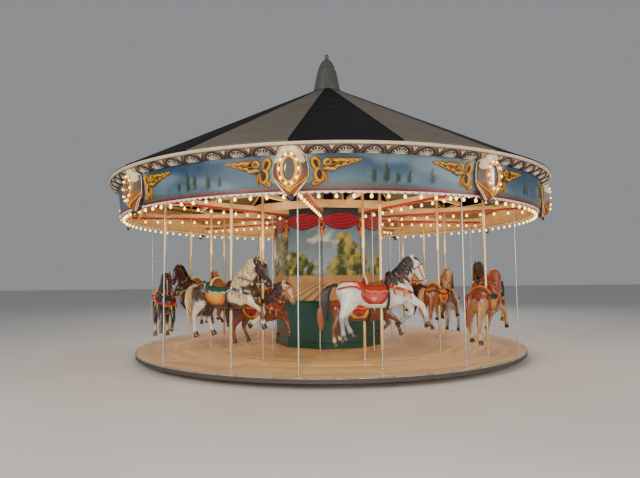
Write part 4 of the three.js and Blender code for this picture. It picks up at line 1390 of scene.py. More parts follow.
shields = {
    "halfWide": 0.245,
    "low": 2.658,
    "tall": 0.684,
    # half of the outline and of the crown on it, as shares of the half width and of the height
    "outline": [(0.2, 0), (0.98, 0.36), (1, 0.58), (0.88, 0.8), (0.58, 0.95), (0, 1)],
    "crown": [(0.93, 0.30), (0.93, 0.665), (0.80, 0.78), (0.70, 0.875), (0.40, 0.955), (0, 0.985)],
    "centre": 0.360,         # of the mirror, above the tip
    "mirror": (0.078, 0.157),
    "ring": (0.0915, 0.171),
    "lamps": (0.135, 0.206),
    "lampBand": (0.166, 0.238),
    "lampCount": 10,
    "front": 4.437,          # distance from the middle of the machine
    "edge": 4.312,
    "columns": 46,
    "cream": (0.90, 0.76, 0.47),
    # the lamps' glow, painted on the face round them
    "paintedGlow": (0.80, 0.52, 0.15),
    "mauve": (0.120, 0.080, 0.062),
    "rust": (0.33, 0.080, 0.010),
    "yellow": (0.74, 0.42, 0.015),
    "red": (0.40, 0.008, 0.005),
    "line": (0.10, 0.045, 0.02),
    "side": (0.016, 0.016, 0.030),
    # ovals round the mirror and the lamps: which one, width, depth, colour
    "ovals": [("ring", 0.0165, 0.012, "yellow"), ("mirror", 0.004, 0.013, "line"),
              ("lampBand", 0.005, 0.005, "rust")],
    # lines on a flank: width, distance off, colour, and places as shares of half width and height
    "lines": [(0.017, 0.004, "yellow", [(0.985, 0.395), (0.60, 0.262), (0.12, 0.125)]),
              # the dark line just under each yellow one is painted shadow
              (0.010, 0.001, "line", [(0.985, 0.373), (0.60, 0.240), (0.12, 0.103)]),
              (0.017, 0.003, "cream", [(0.93, 0.345), (0.60, 0.205), (0.20, 0.022)]),
              (0.008, 0.002, "line", [(0.955, 0.42), (0.965, 0.56), (0.86, 0.76)])],
    "curlPlace": (0.178, 0.112),
    "curlSize": 0.034,
    "crownArc": (31, 149),
    "fluteDepth": 0.006,
    "fanFoot": 0.060,        # above the tip
    "fanLength": 0.075,
    "foot": [(0, -4.318, 2.700), (0, -4.332, 2.668), (0, -4.330, 2.640), (0, -4.318, 2.616)],
    "lampScale": (0.62, 0.62, 0.375),
}


def reachOf(half, turn, facts):
    # distance from the mirror's centre to an outline, in the direction of an angle
    half = np.array(half) * (facts["halfWide"], facts["tall"]) - (0, facts["centre"])
    corners = np.concatenate([half, (half * (-1, 1))[::-1], half[:1]])
    walk = np.linspace(0, len(corners) - 1, 400)
    u, h = (np.interp(walk, np.arange(len(corners)), corners[:, k]) for k in (0, 1))
    order = np.argsort(np.arctan2(h, u))
    return np.interp(turn, np.arctan2(h, u)[order], np.hypot(u, h)[order], period=2 * np.pi)


def ovalReach(size, turn):
    # the radius of an ellipse in the direction of an angle
    return 1 / np.hypot(np.cos(turn) / size[0], np.sin(turn) / size[1])


def shieldPoint(reach, turn, off, facts):
    # flat as far as the lamps' oval, then sloping back to the edge
    inner, outer = ovalReach(facts["lampBand"], turn), reachOf(facts["outline"], turn, facts)
    slope = np.clip((reach - inner) / (outer - inner), 0, 1) ** 1.2
    height = facts["low"] + facts["centre"] + reach * np.sin(turn)
    edge = np.clip(boardRadius(height) + 0.008, facts["edge"], facts["front"])
    out = facts["front"] - (facts["front"] - edge) * slope + off
    return np.stack(np.broadcast_arrays(reach * np.cos(turn), -out, height), -1)


def shieldPlace(u, h, off, facts):
    # the same, from a place across and above the mirror's centre
    return shieldPoint(np.hypot(u, h), np.arctan2(h, u), off, facts)


def shieldBar(path, section, tint, **options):
    # a bar that lies on the shield
    return carry(path, section, (0, -1, 0), tint=np.array(tint), **options)


def shieldTint(points, facts):
    # the crown is cream, the flanks mauve above the yellow lines and rust below them, and the face inside the
    # ring of lamps is painted with their glow
    u = np.abs(points[..., 0]) / facts["halfWide"]
    h = (points[..., 2] - facts["low"]) / facts["tall"]
    oval = np.hypot(points[..., 0] / facts["lampBand"][0],
                    (points[..., 2] - facts["low"] - facts["centre"]) / facts["lampBand"][1])
    tint = np.broadcast_to(facts["mauve"], points.shape).astype(float)
    tint = blend(tint, facts["rust"], softStep(-h + 0.50 - 0.35 * (1 - u) * (points[..., 0] < 0), 0.0, 0.10))
    tint = blend(tint, facts["rust"], h < 0.15 + 0.29 * (u - 0.16))
    tint = blend(tint, facts["paintedGlow"], softStep(-oval, -1.06, -0.98))
    return blend(tint, facts["cream"], softStep(h, 0.70, 0.76) * (oval < 1.02))


def makeShield(facts):
    # A domed mirror, the flat face round it, the sloping flanks, the wall behind their edge and a
    # back; then a cord round the edge, ovals round the mirror, and a red bar between two lamps.
    turn = np.linspace(0, 2 * np.pi, facts["columns"], endpoint=False)
    mirrorOval, lampOval = ovalReach(facts["mirror"], turn), ovalReach(facts["lampBand"], turn)
    outline = reachOf(facts["outline"], turn, facts)
    rows = np.linspace(0, 1, 4)[:, None]
    dome = shieldPoint(mirrorOval * rows, turn, 0.007 * (1 - rows**2), facts)
    flat = shieldPoint(mirrorOval + (lampOval - mirrorOval) * rows, turn, 0, facts)
    slope = shieldPoint(lampOval + (outline - lampOval) * np.linspace(0, 1, 9)[:, None], turn, 0, facts)
    front = np.concatenate([flat, slope])
    rim = slope[-1]
    back = rim.copy()
    back[:, 1] = -np.sqrt((boardRadius(rim[:, 2]) + 0.0008) ** 2 - rim[:, 0] ** 2)
    middle = back.mean(0, keepdims=True).repeat(len(back), 0)
    parts = [gridPart(dome, closeCols=True, slot=1),
             gridPart(front, closeCols=True, tint=shieldTint(front, facts)),
             gridPart(np.stack([rim, back]), closeCols=True, tint=np.array(facts["side"])),
             gridPart(np.stack([back, middle]), closeCols=True, tint=np.array(facts["side"])),
             shieldBar(rim, ovalSection(0.006, 0.005, 6), facts["cream"], closed=True)]
    for size, wide, deep, colour in facts["ovals"]:
        path = shieldPoint(ovalReach(facts[size], turn), turn, 0.0, facts)
        parts.append(shieldBar(path, ovalSection(wide, deep, 6), facts[colour], closed=True))
    for k in range(facts["lampCount"]):
        t = 2 * np.pi * (k + 0.5) / facts["lampCount"] + np.linspace(-0.15, 0.15, 4)
        path = shieldPlace(facts["lamps"][0] * np.cos(t), facts["lamps"][1] * np.sin(t), 0.002, facts)
        parts.append(shieldBar(path, ovalSection(0.0140, 0.006, 6), facts["red"]))
    return parts


def carveShield(facts):
    # lines and a winding curl on both flanks, a crown whose flutes are sines of the angle, a fan of
    # five leaves under the lamps, and a round foot
    parts = []
    for side in (-1, 1):
        for wide, off, colour, places in facts["lines"]:
            line = smoothRows(np.array(places) * (side, 1), 14) * (facts["halfWide"], facts["tall"])
            path = shieldPlace(*(line - (0, facts["centre"])).T, off, facts)
            parts.append(shieldBar(path, barSection(wide, 0.010, 0.003), facts[colour]))
        t = np.linspace(0, 1, 22)
        turn, size = np.radians(200 - 560 * t), facts["curlSize"] * (1 - 0.78 * t)
        u, h = facts["curlPlace"][0] + size * np.cos(turn), facts["curlPlace"][1] + size * np.sin(turn)
        curl = shieldPlace(side * u, h, 0.012, facts)
        parts.append(shieldBar(curl, ovalSection(1, 1, 7), facts["cream"], scale=0.010 - 0.004 * t))
    arc = np.radians(np.linspace(*facts["crownArc"], 30))
    low, high = ovalReach(facts["lampBand"], arc) * 0.99, reachOf(facts["crown"], arc, facts)
    share = np.linspace(0, 1, 6)[:, None]
    flutes = facts["fluteDepth"] * np.abs(np.sin((arc - np.pi / 2) * 8)) * np.sin(np.pi * share) ** 0.5
    upper = shieldPoint(low + (high - low) * share, arc, 0.010 + flutes, facts)
    under = shieldPoint(low + (high - low) * share, arc, 0.0, facts)
    # the crown's cream is painted darker in the grooves between the flutes: painted shade
    parts += shell(upper, under, np.array(facts["cream"]) * (0.82 + 30 * flutes[..., None]))
    t = np.linspace(0, 1, 9)
    width = 0.004 + 0.012 * np.sin(np.pi * (0.15 + 0.75 * t))
    for k in range(-2, 3):
        u, h = (facts["fanLength"] * t * way for way in (np.sin(0.42 * k), np.cos(0.42 * k)))
        leaf = shieldPlace(u, facts["fanFoot"] - facts["centre"] + h, 0.004, facts)
        shade = np.array(facts["yellow"]) * (1.0 if k % 2 else 0.85)
        parts.append(shieldBar(leaf, ovalSection(1, 0.6, 8), shade, scale=width))
    return parts + [shieldBar(smoothRows(facts["foot"], 10), ovalSection(0.046, 0.020, 14), facts["side"])]


shieldPaint = makeFinish("shieldPaint", {"tinted": True, "vary": 0.2, "grain": 16.0, "fine": 70.0,
                                         "rough": 0.42, "coat": 0.12, "bump": 0.2,
                                         "worn": (0.14, 0.08, 0.05), "wornFrom": 0.68, "wornMost": 0.6})
mirrorGlass = makeFinish("mirrorGlass", {"colour": (0.46, 0.40, 0.35), "second": (0.40, 0.34, 0.29),
                                         "vary": 0.1, "grain": 5.0, "rough": 0.10, "roughVary": 0.05,
                                         "metal": 0.9, "bump": 0.03})
shieldParts = makeShield(shields) + carveShield(shields)
for number, seam in enumerate(seams):
    stood = [moved(p, aboutPole(seam)) for p in shieldParts]
    makePiece(f"shield_front_{number + 1}", stood, [shieldPaint, mirrorGlass],
              standsFor=[f"shield_{number + 1}"], sharp=45)
outFacing = Matrix(((1, 0, 0, 0), (0, 0, 1, 0), (0, -1, 0, 0), (0, 0, 0, 1)))    # a bulb's foot to the back
lamps = []
for t in 2 * np.pi * np.arange(shields["lampCount"]) / shields["lampCount"]:
    across, up = shields["lamps"][0] * math.cos(t), shields["lamps"][1] * math.sin(t)
    place = (across, 0.001 - shields["front"], shields["low"] + shields["centre"] + up)
    lamps.append(np.array(Matrix.Translation(place) @ outFacing))
lampPlaces = [aboutPole(seam) @ lamp for seam in seams for lamp in lamps]
shieldGlass, shieldSockets = bulbSet(bulb, lampPlaces, shields["lampScale"])
makePiece("shield_bulbs", shieldGlass, [bulbGlass])
makePiece("shield_sockets", shieldSockets, [common["brass"]])
print("shields hung")


# Horses: one carved body, repeated with its own coat and tack

horse = {
    "voxel": 0.013,
    "keep": 0.165,            # share of the remeshed faces that is kept
    "hoofMid": 0.520,
    "lift": 0.100,
    "innerScale": 0.86,
    # stations of the torso: along, height, half height up, half height down, half width
    "torso": [(-0.705, 0.745, 0.030, 0.040, 0.035), (-0.665, 0.735, 0.100, 0.120, 0.100),
              (-0.590, 0.705, 0.165, 0.175, 0.152), (-0.470, 0.690, 0.186, 0.185, 0.176),
              (-0.320, 0.675, 0.168, 0.160, 0.172), (-0.140, 0.660, 0.160, 0.175, 0.174),
              (0.050, 0.662, 0.172, 0.200, 0.178), (0.210, 0.680, 0.195, 0.212, 0.172),
              (0.340, 0.705, 0.180, 0.195, 0.150), (0.440, 0.720, 0.125, 0.140, 0.108),
              (0.480, 0.722, 0.045, 0.055, 0.045)],
    # stations of the other limbs: along, side, height, half depth, half width
    "neck": [(0.190, 0, 0.740, 0.150, 0.105), (0.280, 0, 0.842, 0.174, 0.102),
             (0.352, 0, 0.942, 0.152, 0.087), (0.408, 0, 1.036, 0.121, 0.072),
             (0.455, 0, 1.115, 0.100, 0.062), (0.492, 0, 1.170, 0.078, 0.054),
             (0.515, 0, 1.205, 0.046, 0.038)],
    "head": [(0.500, 0, 1.190, 0.040, 0.040), (0.538, 0, 1.148, 0.078, 0.058),
             (0.582, 0, 1.088, 0.100, 0.064), (0.618, 0, 1.019, 0.084, 0.055),
             (0.652, 0, 0.949, 0.062, 0.046), (0.684, 0, 0.884, 0.053, 0.043),
             (0.708, 0, 0.835, 0.050, 0.044), (0.724, 0, 0.802, 0.030, 0.032)],
    "headFrom": (0.515, 1.197),
    "headWay": (0.470, -0.883),
    "legs": [
        [(0.330, -0.095, 0.700, 0.105, 0.065), (0.430, -0.103, 0.610, 0.082, 0.056),
         (0.520, -0.107, 0.552, 0.060, 0.047), (0.600, -0.110, 0.505, 0.050, 0.043),
         (0.643, -0.110, 0.430, 0.038, 0.033), (0.665, -0.111, 0.345, 0.034, 0.030),
         (0.682, -0.111, 0.285, 0.042, 0.036), (0.694, -0.111, 0.248, 0.033, 0.031),
         (0.704, -0.111, 0.222, 0.042, 0.038), (0.718, -0.111, 0.185, 0.053, 0.047)],
        [(0.320, 0.095, 0.690, 0.105, 0.065), (0.420, 0.103, 0.575, 0.078, 0.056),
         (0.492, 0.107, 0.480, 0.056, 0.046), (0.525, 0.108, 0.405, 0.048, 0.042),
         (0.475, 0.108, 0.338, 0.037, 0.032), (0.405, 0.108, 0.288, 0.034, 0.030),
         (0.352, 0.108, 0.252, 0.042, 0.036), (0.325, 0.108, 0.228, 0.033, 0.031),
         (0.303, 0.108, 0.210, 0.041, 0.038), (0.268, 0.108, 0.185, 0.052, 0.047)],
        [(-0.490, -0.085, 0.680, 0.165, 0.082), (-0.530, -0.095, 0.570, 0.140, 0.078),
         (-0.585, -0.103, 0.460, 0.090, 0.058), (-0.640, -0.107, 0.350, 0.056, 0.043),
         (-0.645, -0.108, 0.255, 0.037, 0.032), (-0.637, -0.109, 0.175, 0.034, 0.030),
         (-0.630, -0.109, 0.112, 0.043, 0.036), (-0.618, -0.110, 0.075, 0.034, 0.031),
         (-0.608, -0.110, 0.050, 0.043, 0.039), (-0.592, -0.110, 0.006, 0.056, 0.049)],
        [(-0.480, 0.085, 0.680, 0.165, 0.082), (-0.495, 0.092, 0.565, 0.140, 0.078),
         (-0.515, 0.100, 0.450, 0.090, 0.058), (-0.548, 0.106, 0.335, 0.056, 0.043),
         (-0.522, 0.107, 0.245, 0.037, 0.032), (-0.487, 0.108, 0.172, 0.034, 0.030),
         (-0.462, 0.109, 0.118, 0.043, 0.036), (-0.446, 0.110, 0.088, 0.034, 0.031),
         (-0.434, 0.110, 0.066, 0.043, 0.039), (-0.412, 0.110, 0.028, 0.055, 0.049)],
    ],
    # rounded muscles and features: centre and radii
    "muscles": [((-0.500, 0.095, 0.680), (0.165, 0.090, 0.185)),
                ((0.265, 0.092, 0.690), (0.125, 0.088, 0.180)),
                ((0.415, 0.045, 0.700), (0.085, 0.075, 0.120)),
                ((0.575, 0.036, 1.078), (0.062, 0.034, 0.072)),
                ((0.714, 0.027, 0.834), (0.024, 0.019, 0.026)),
                ((0.578, 0.050, 1.144), (0.030, 0.020, 0.024)),
                ((-0.100, 0.070, 0.560), (0.260, 0.105, 0.090))],
    "ears": [(0.500, 0.036, 1.195, 0.026, 0.018), (0.500, 0.042, 1.240, 0.024, 0.014),
             (0.508, 0.044, 1.280, 0.014, 0.009), (0.516, 0.044, 1.305, 0.004, 0.003)],
    # mane locks: side, how many, how far round the neck, shift along it in locks, extra lift
    "mane": [(-1, 13, 2.30, 0, 0), (1, 8, 1.5, 0, 0), (-1, 10, 1.45, 0.5, 0.012)],
    "forelock": [(0.508, 0, 1.232), (0.566, 0, 1.214), (0.622, 0, 1.172), (0.655, 0, 1.110)],
    "tail": [(-0.665, 0, 0.800), (-0.740, 0, 0.822), (-0.822, 0, 0.780), (-0.868, 0, 0.680),
             (-0.872, 0, 0.540), (-0.858, 0, 0.410), (-0.872, 0, 0.300)],
    "tailLocks": 12,
    "eye": (0.592, 0.0655, 1.134),
    "eyeSize": (0.0135, 0.009, 0.0125),
}


def stationGrid(rows, count, sides):
    # upright ovals: the height uses one radius above the middle and another below it
    x, z, up, down, wide = smoothRows(rows, count).T[:, :, None]
    turn = np.linspace(0, 2 * np.pi, sides, endpoint=False)[None]
    tall = np.where(np.cos(turn) > 0, up, down)
    return np.stack(np.broadcast_arrays(x, wide * np.sin(turn), z + tall * np.cos(turn)), -1)


def closedGrid(points):
    # rings of points, closed on the middle of the first ring and of the last
    ends = points.mean(1, keepdims=True).repeat(points.shape[1], 1)
    return gridPart(np.concatenate([ends[:1], points, ends[-1:]]), closeCols=True)


def limb(rows, count=26, sides=14):
    # ovals square to a curve through the stations
    rows = smoothRows(rows, count)
    return carry(rows[:, :3], ovalSection(1, 1, sides), (0, 1, 0), scale=rows[:, 3:])


def ball(centre, radii, rows=12, sides=16):
    # an ellipsoid by latitude and longitude
    lat = np.linspace(0, np.pi, rows)[:, None]
    lon = np.linspace(0, 2 * np.pi, sides, endpoint=False)
    shape = np.broadcast_arrays(np.sin(lat) * np.cos(lon), np.sin(lat) * np.sin(lon), np.cos(lat))
    return gridPart(np.stack(shape, -1) * radii + centre, closeCols=True)


def carveHorse(facts):
    # all limbs are fused into one skin, smoothed, and thinned; returns its points and triangles
    parts = [closedGrid(stationGrid(facts["torso"], 40, 24)), limb(facts["neck"])]
    parts += [limb(facts["head"], 26, 16)] + [limb(rows) for rows in facts["legs"]]
    for side in (-1, 1):
        parts += [ball(np.array(centre) * (1, side, 1), radii) for centre, radii in facts["muscles"]]
        parts.append(limb(np.array(facts["ears"]) * (1, side, 1, 1, 1), 10, 10))
    rough = makePiece("rough_horse", parts, [], sharp=180)
    fuse = rough.modifiers.new("fuse", "REMESH")
    fuse.mode = "VOXEL"
    fuse.voxel_size = facts["voxel"]
    smooth = rough.modifiers.new("smooth", "SMOOTH")
    smooth.factor = 0.5
    smooth.iterations = 5
    thin = rough.modifiers.new("thin", "DECIMATE")
    thin.ratio = facts["keep"]
    carved = rough.evaluated_get(bpy.context.evaluated_depsgraph_get()).to_mesh()
    carved.calc_loop_triangles()
    points = np.empty(len(carved.vertices) * 3)
    carved.vertices.foreach_get("co", points)
    triangles = np.empty(len(carved.loop_triangles) * 3, int)
    carved.loop_triangles.foreach_get("vertices", triangles)
    bpy.data.objects.remove(rough)
    return points.reshape(-1, 3), triangles.reshape(-1, 3)


def torsoPoint(x, turn, off):
    # a point on the torso's skin, pushed out by off; turn is counted from the top, in radians
    rows = smoothRows(horse["torso"], 80)
    z, up, down, wide = (np.interp(x, rows[:, 0], rows[:, k]) for k in (1, 2, 3, 4))
    tall = np.where(np.cos(turn) > 0, up, down)
    return np.stack(np.broadcast_arrays(x, (wide + off) * np.sin(turn), z + (tall + off) * np.cos(turn)), -1)


def boss(centre, radii, tint, rows=5, sides=8):
    # a coloured ball
    part = ball(centre, radii, rows, sides)
    part["tint"][:] = tint
    return part


def band(path, wide, thick, tint, out=None, closed=False):
    # a flat strap along a path, its face turned away from the middle of the body
    path = np.asarray(path, float)
    out = unit(path - (0, 0, 0.68)) * (0.15, 1, 1) if out is None else out
    w, h = wide / 2, thick / 2
    section = [(w, 0), (0.8 * w, h), (-0.8 * w, h), (-w, 0), (-0.8 * w, -h), (0.8 * w, -h)]
    return carry(path, section, out, tint=np.array(tint), closed=closed)


def lock(path, wide, thick, tint, out, sides=5):
    # a lock of hair: an oval bar that swells after its root and runs out to a point, paler towards it
    t = np.linspace(0, 1, len(path))
    swell = np.sin(np.pi * np.clip(0.16 + 0.84 * t, 0, 1)) ** 0.7 + 0.03
    part = carry(path, ovalSection(wide, thick, sides)[None] * swell[:, None, None], out)
    shade = np.interp(np.arange(len(path) + 2), [0, len(path) + 1], [0.60, 1.25])
    part["tint"] = (np.array(tint) * shade[:, None]).repeat(sides, 0)
    return part


def neckFrame(u):
    # along the neck: its middle, its two radii, and the direction of its crest
    rows = smoothRows(horse["neck"], 60)
    at = np.linspace(0, 1, 60)
    centre = np.stack([np.interp(u, at, rows[:, k]) for k in range(3)], -1)
    deep, wide = (np.interp(u, at, rows[:, k]) for k in (3, 4))
    way = unit(np.gradient(rows[:, :3], axis=0))
    tangent = np.stack([np.interp(u, at, way[:, k]) for k in range(3)], -1)
    crestWay = np.stack([-tangent[..., 2], np.zeros_like(u), tangent[..., 0]], -1)
    return centre, deep, wide, crestWay


def makeHair(facts, hair, rng):
    # Mane locks start on the crest of the neck and wind down its side as a wave; the tail is a
    # bundle of locks that follow one arc, spread by their own angle.
    parts = []
    t = np.linspace(0, 1, 11)
    for side, count, reach, shift, lift in facts["mane"]:
        for k in range(count):
            start = 0.10 + 0.88 * (k + shift) / count
            u = np.clip(start - (0.30 - 0.10 * start) * t + 0.030 * np.sin(t * 8 + k), 0.0, 1.0)
            turn = reach * rng.uniform(0.85, 1.08) * t ** 0.9 + 0.17 * np.sin(t * 7.5 + 1.3 * k) * t
            centre, deep, wide, crestWay = neckFrame(u)
            off = 0.010 + 0.018 * np.sin(np.pi * t) + lift
            path = centre + crestWay * ((deep + off) * np.cos(turn))[:, None]
            path[:, 1] += side * (wide + off) * np.sin(turn)
            shade = np.array(hair) * rng.uniform(0.62, 1.15)
            parts.append(lock(path, 0.027, 0.018, shade, unit(path - centre)))
    front = smoothRows(facts["forelock"], 11)
    for k in range(5):
        aside = (k - 2) / 2 * (0.010 + 0.036 * t)
        path = front + np.stack([0.010 * np.sin(t * 5 + k), aside, 0.012 * np.cos(t * 4 + k)], -1)
        parts.append(lock(path, 0.013, 0.009, np.array(hair) * rng.uniform(0.7, 1.1), (0.8, 0, 0.6)))
    arc = smoothRows(facts["tail"], 15)
    s = np.linspace(0, 1, 15)[:, None]
    spread = 0.010 + 0.042 * np.sin(np.pi * np.clip(s * 0.95, 0, 1)) ** 0.8
    for k in range(facts["tailLocks"]):
        turn = 2 * np.pi * k / facts["tailLocks"] + rng.uniform(-0.2, 0.2)
        twist = turn + 2.2 * s + 0.35 * np.sin(6 * s + k)
        path = arc + spread * np.concatenate([np.cos(twist), 0.75 * np.sin(twist), 0.3 * np.cos(twist)], 1)
        parts.append(lock(path, 0.022, 0.019, np.array(hair) * rng.uniform(0.7, 1.12), (0, 1, 0.01)))
    return parts


saddlery = {
    "middle": -0.165,         # of the blanket, along the body
    "half": 0.200,
    "straight": 1.38,         # how far down its sides run before they turn in, in radians from the spine
    "round": 0.98,
    "border": 0.060,
    "bulge": 0.014,           # how much further it stands off over the belly
    "drape": (-0.43, 0.125),
    "seat": (0.15, 0.055, 0.020),
    "girth": (0.020, 0.016, 0.016),
    "breast": [(0.070, 0.165, 0.800), (0.200, 0.186, 0.772), (0.330, 0.182, 0.735), (0.430, 0.140, 0.700),
               (0.492, 0.070, 0.676), (0.506, 0.0, 0.668)],
    "rein": [(0.672, 0.052, 0.880), (0.560, 0.100, 0.872), (0.430, 0.128, 0.905), (0.280, 0.140, 0.950),
             (0.130, 0.085, 0.925), (0.050, 0.020, 0.915)],
    # jewels: place and radii
    "jewels": [((0.150, 0.192, 0.790), (0.022, 0.012, 0.022)),
               ((0.330, 0.190, 0.735), (0.026, 0.012, 0.026))],
    "bit": ((0.676, 0.050, 0.892), (0.017, 0.008, 0.017)),
}


def drapeCloths(facts, tack):
    # a blanket round below like a U, with a border and a flower; a scalloped drape; a seat whose two
    # ends rise as bell curves, and a roll behind it; the girth
    s, v = np.meshgrid(np.sin(np.linspace(-np.pi / 2, np.pi / 2, 13)), np.linspace(-1, 1, 21), indexing="ij")
    turn = v * (facts["straight"] + facts["round"] * np.sqrt(np.clip(1 - s**2, 0, 1)))
    x = facts["middle"] + facts["half"] * s
    tint = np.broadcast_to(tack["blanket"], x.shape + (3,))
    off = 0.013 + facts["bulge"] * softStep(np.abs(turn), 1.7, 2.3)
    parts = shell(torsoPoint(x, turn, off), torsoPoint(x, turn, 0.003), tint)
    bend = np.linspace(-np.pi / 2, np.pi / 2, 15)
    for side in (-1, 1):
        turn = side * (facts["straight"] + facts["round"] * 0.86 * np.cos(bend))
        x = facts["middle"] + facts["half"] * 0.90 * np.sin(bend)
        off = 0.015 + facts["bulge"] * softStep(np.abs(turn), 1.7, 2.3)
        parts.append(band(torsoPoint(x, turn, off), facts["border"], 0.009, tack["edge"]))
        flower = torsoPoint(facts["middle"], side * 1.80, 0.015)
        parts.append(boss(flower, (0.046, 0.007, 0.032), tack["flower"], sides=10))
    first, last = facts["drape"]
    x, v = np.meshgrid(np.linspace(first, last, 24), np.linspace(-1, 1, 11), indexing="ij")
    ends = np.clip(np.minimum(x - first + 0.02, last - x + 0.03) / 0.09, 0.1, 1) ** 0.5
    turn = v * ends * (1.20 + 0.10 * np.abs(np.sin((x - first) * 23)))
    tint = np.broadcast_to(tack["saddle"], x.shape + (3,))
    parts += shell(torsoPoint(x, turn, 0.023), torsoPoint(x, turn, 0.006), tint)
    for k in (0, -1):
        parts.append(band(torsoPoint(x[:, k], turn[:, k] * 0.98, 0.026), 0.019, 0.008, tack["trim"]))
    x, turn = np.meshgrid(np.linspace(-0.275, 0.025, 15), np.linspace(-0.66, 0.66, 9), indexing="ij")
    rise = 0.075 * np.exp(-((x + 0.262) / 0.032) ** 2) + 0.050 * np.exp(-((x - 0.012) / 0.026) ** 2)
    off = 0.030 + (rise + 0.010) * np.cos(turn * 1.9)
    flap = facts["middle"] + (x - facts["middle"]) * (1.0 - 0.22 * np.abs(turn))
    tint = np.broadcast_to(facts["seat"], x.shape + (3,))
    parts += shell(torsoPoint(flap, turn, off), torsoPoint(flap, turn, 0.016), tint)
    turn = np.linspace(-0.80, 0.80, 13)
    cantle = torsoPoint(-0.272, turn, 0.030 + 0.085 * np.cos(turn * 1.5))
    parts.append(carry(cantle, ovalSection(0.020, 0.018, 8), (1, 0, 0), tint=np.array(tack["roll"])))
    turn = np.linspace(0, 2 * np.pi, 24, endpoint=False)
    parts.append(band(torsoPoint(0.052, turn, 0.027), 0.042, 0.008, facts["girth"], closed=True))
    return parts


def strapSide(facts, tack, side):
    # a fringed breast strap, two straps back to the tail, a jewelled collar, and two jewels
    breast = smoothRows(np.array(facts["breast"]) * (1, side, 1), 19)
    out = unit(breast - (0.2, 0, 0.70))
    parts = [band(breast, 0.046, 0.009, tack["strap"], out),
             band(breast - (0, 0, 0.032), 0.010, 0.011, tack["trim"], out)]
    x = np.linspace(-0.300, -0.660, 11)
    turn = side * np.interp(x, [-0.66, -0.30], [0.15, 0.62])
    parts.append(band(torsoPoint(x, turn, 0.010), 0.030, 0.008, tack["strap"]))
    x = np.linspace(-0.300, -0.700, 13)
    back = torsoPoint(x, side * (1.30 + 0.28 * np.sin((x + 0.30) / 0.40 * np.pi)), 0.026)
    reach = np.interp(x, [-0.70, -0.64, -0.5, -0.3], [0.05, 0.13, 0.195, 0.19])
    back[:, 1] = side * np.maximum(np.abs(back[:, 1]), reach)
    parts.append(band(back, 0.030, 0.008, tack["strap"]))
    for k in range(8):
        root = breast[2 * k + 2] - (0, 0, 0.030)
        drop = root + np.linspace(0, 1, 4)[:, None] * (0.012, side * 0.010, -0.095)
        colour = tack[("edge", "flower")[k % 2]]
        parts.append(lock(drop, 0.016, 0.008, colour, unit(root - (0.2, 0, 0.70)), 4))
    centre, deep, wide, crestWay = neckFrame(np.full(7, 0.30))
    turn = np.linspace(0.75, 2.45, 7)
    collar = centre + crestWay * ((deep + 0.016) * np.cos(turn))[:, None]
    collar[:, 1] += side * (wide + 0.016) * np.sin(turn)
    parts.append(band(collar, 0.030, 0.008, tack["strap"], unit(collar - centre)))
    for k, place in enumerate(collar):
        parts.append(boss(place, (0.021, 0.014, 0.021), tack[("jewel", "trim", "edge")[k % 3]], sides=6))
    for place, size in facts["jewels"]:
        parts.append(boss(np.array(place) * (1, side, 1), size, tack["jewel"]))
    return parts


def makeBridle(facts, tack):
    # two loops round the head; on each side a cheek strap, a rein and the ring of the bit
    parts = []
    rows = smoothRows(horse["head"], 40)
    way = unit(np.gradient(rows[:, :3], axis=0))
    turn = np.linspace(0, 2 * np.pi, 18, endpoint=False)[:, None]
    for place, grow in ((11, 0.008), (27, 0.007)):
        centre, deep, wide = rows[place, :3], rows[place, 3] + grow, rows[place, 4] + grow
        up = np.cross(way[place], (0, 1, 0))
        loop = centre + deep * np.cos(turn) * up + wide * np.sin(turn) * np.array([0, 1, 0])
        parts.append(band(loop, 0.020, 0.006, tack["strap"], unit(loop - centre), closed=True))
    for side in (-1, 1):
        cheek = rows[11:28:4, :3] + (0, 1, 0) * (side * (rows[11:28:4, 4:5] + 0.010))
        rein = smoothRows(np.array(facts["rein"]) * (1, side, 1), 16)
        place, size = facts["bit"]
        parts += [band(cheek, 0.017, 0.005, tack["strap"], (0, side, 0.01)),
                  band(rein, 0.015, 0.004, tack["strap"], (0, side, 0.5)),
                  boss(np.array(place) * (1, side, 1), size, tack["jewel"])]
    return parts


def makeTack(facts, tack):
    # the cloths lie under the straps of both sides and the bridle
    straps = strapSide(facts, tack, -1) + strapSide(facts, tack, 1)
    return drapeCloths(facts, tack) + straps + makeBridle(facts, tack)


def coatTint(points, coat, seed):
    # the coat, with patches where a smooth noise is high, pale stockings, dark hooves and muzzle
    colour = np.broadcast_to(coat["coat"], points.shape).astype(float)
    patch = noise3(points * (1, 1.3, 1), 7.5, seed) + 0.25 * noise3(points, 19, seed + 1)
    colour = blend(colour, coat["patch"], softStep(patch, coat["patchFrom"], coat["patchFrom"] + 0.05))
    stocking = softStep(-points[:, 2], -coat["stockings"] - 0.03, -coat["stockings"])
    colour = blend(colour, coat["legs"], stocking)
    rel = points[:, [0, 2]] - horse["headFrom"]
    way = np.array(horse["headWay"])
    along, aside = rel @ way, rel @ (-way[1], way[0])
    headward = softStep(aside, -0.115, -0.090) * (points[:, 2] > 0.72)
    colour = blend(colour, coat["head"], headward)
    colour = blend(colour, np.array(coat["head"]) * 0.45, softStep(along, 0.350, 0.400) * headward)
    nostril = np.exp(-((along - 0.417) ** 2 + (aside - 0.024) ** 2) / 0.00022)
    colour = blend(colour, (0.05, 0.01, 0.01), nostril * (np.abs(points[:, 1]) > 0.018))
    mouth = (np.abs(aside + 0.012) < 0.0045) & (along > 0.370) & (along < 0.47)
    colour = blend(colour, (0.12, 0.02, 0.02), mouth * 0.9)
    legRows = np.concatenate([np.array(rows)[-2:, :3] for rows in horse["legs"]])
    hoof = np.linalg.norm(points[:, None] - legRows[None], axis=2).min(1)
    return blend(colour, coat["hoof"], 1 - softStep(hoof, 0.048, 0.056))


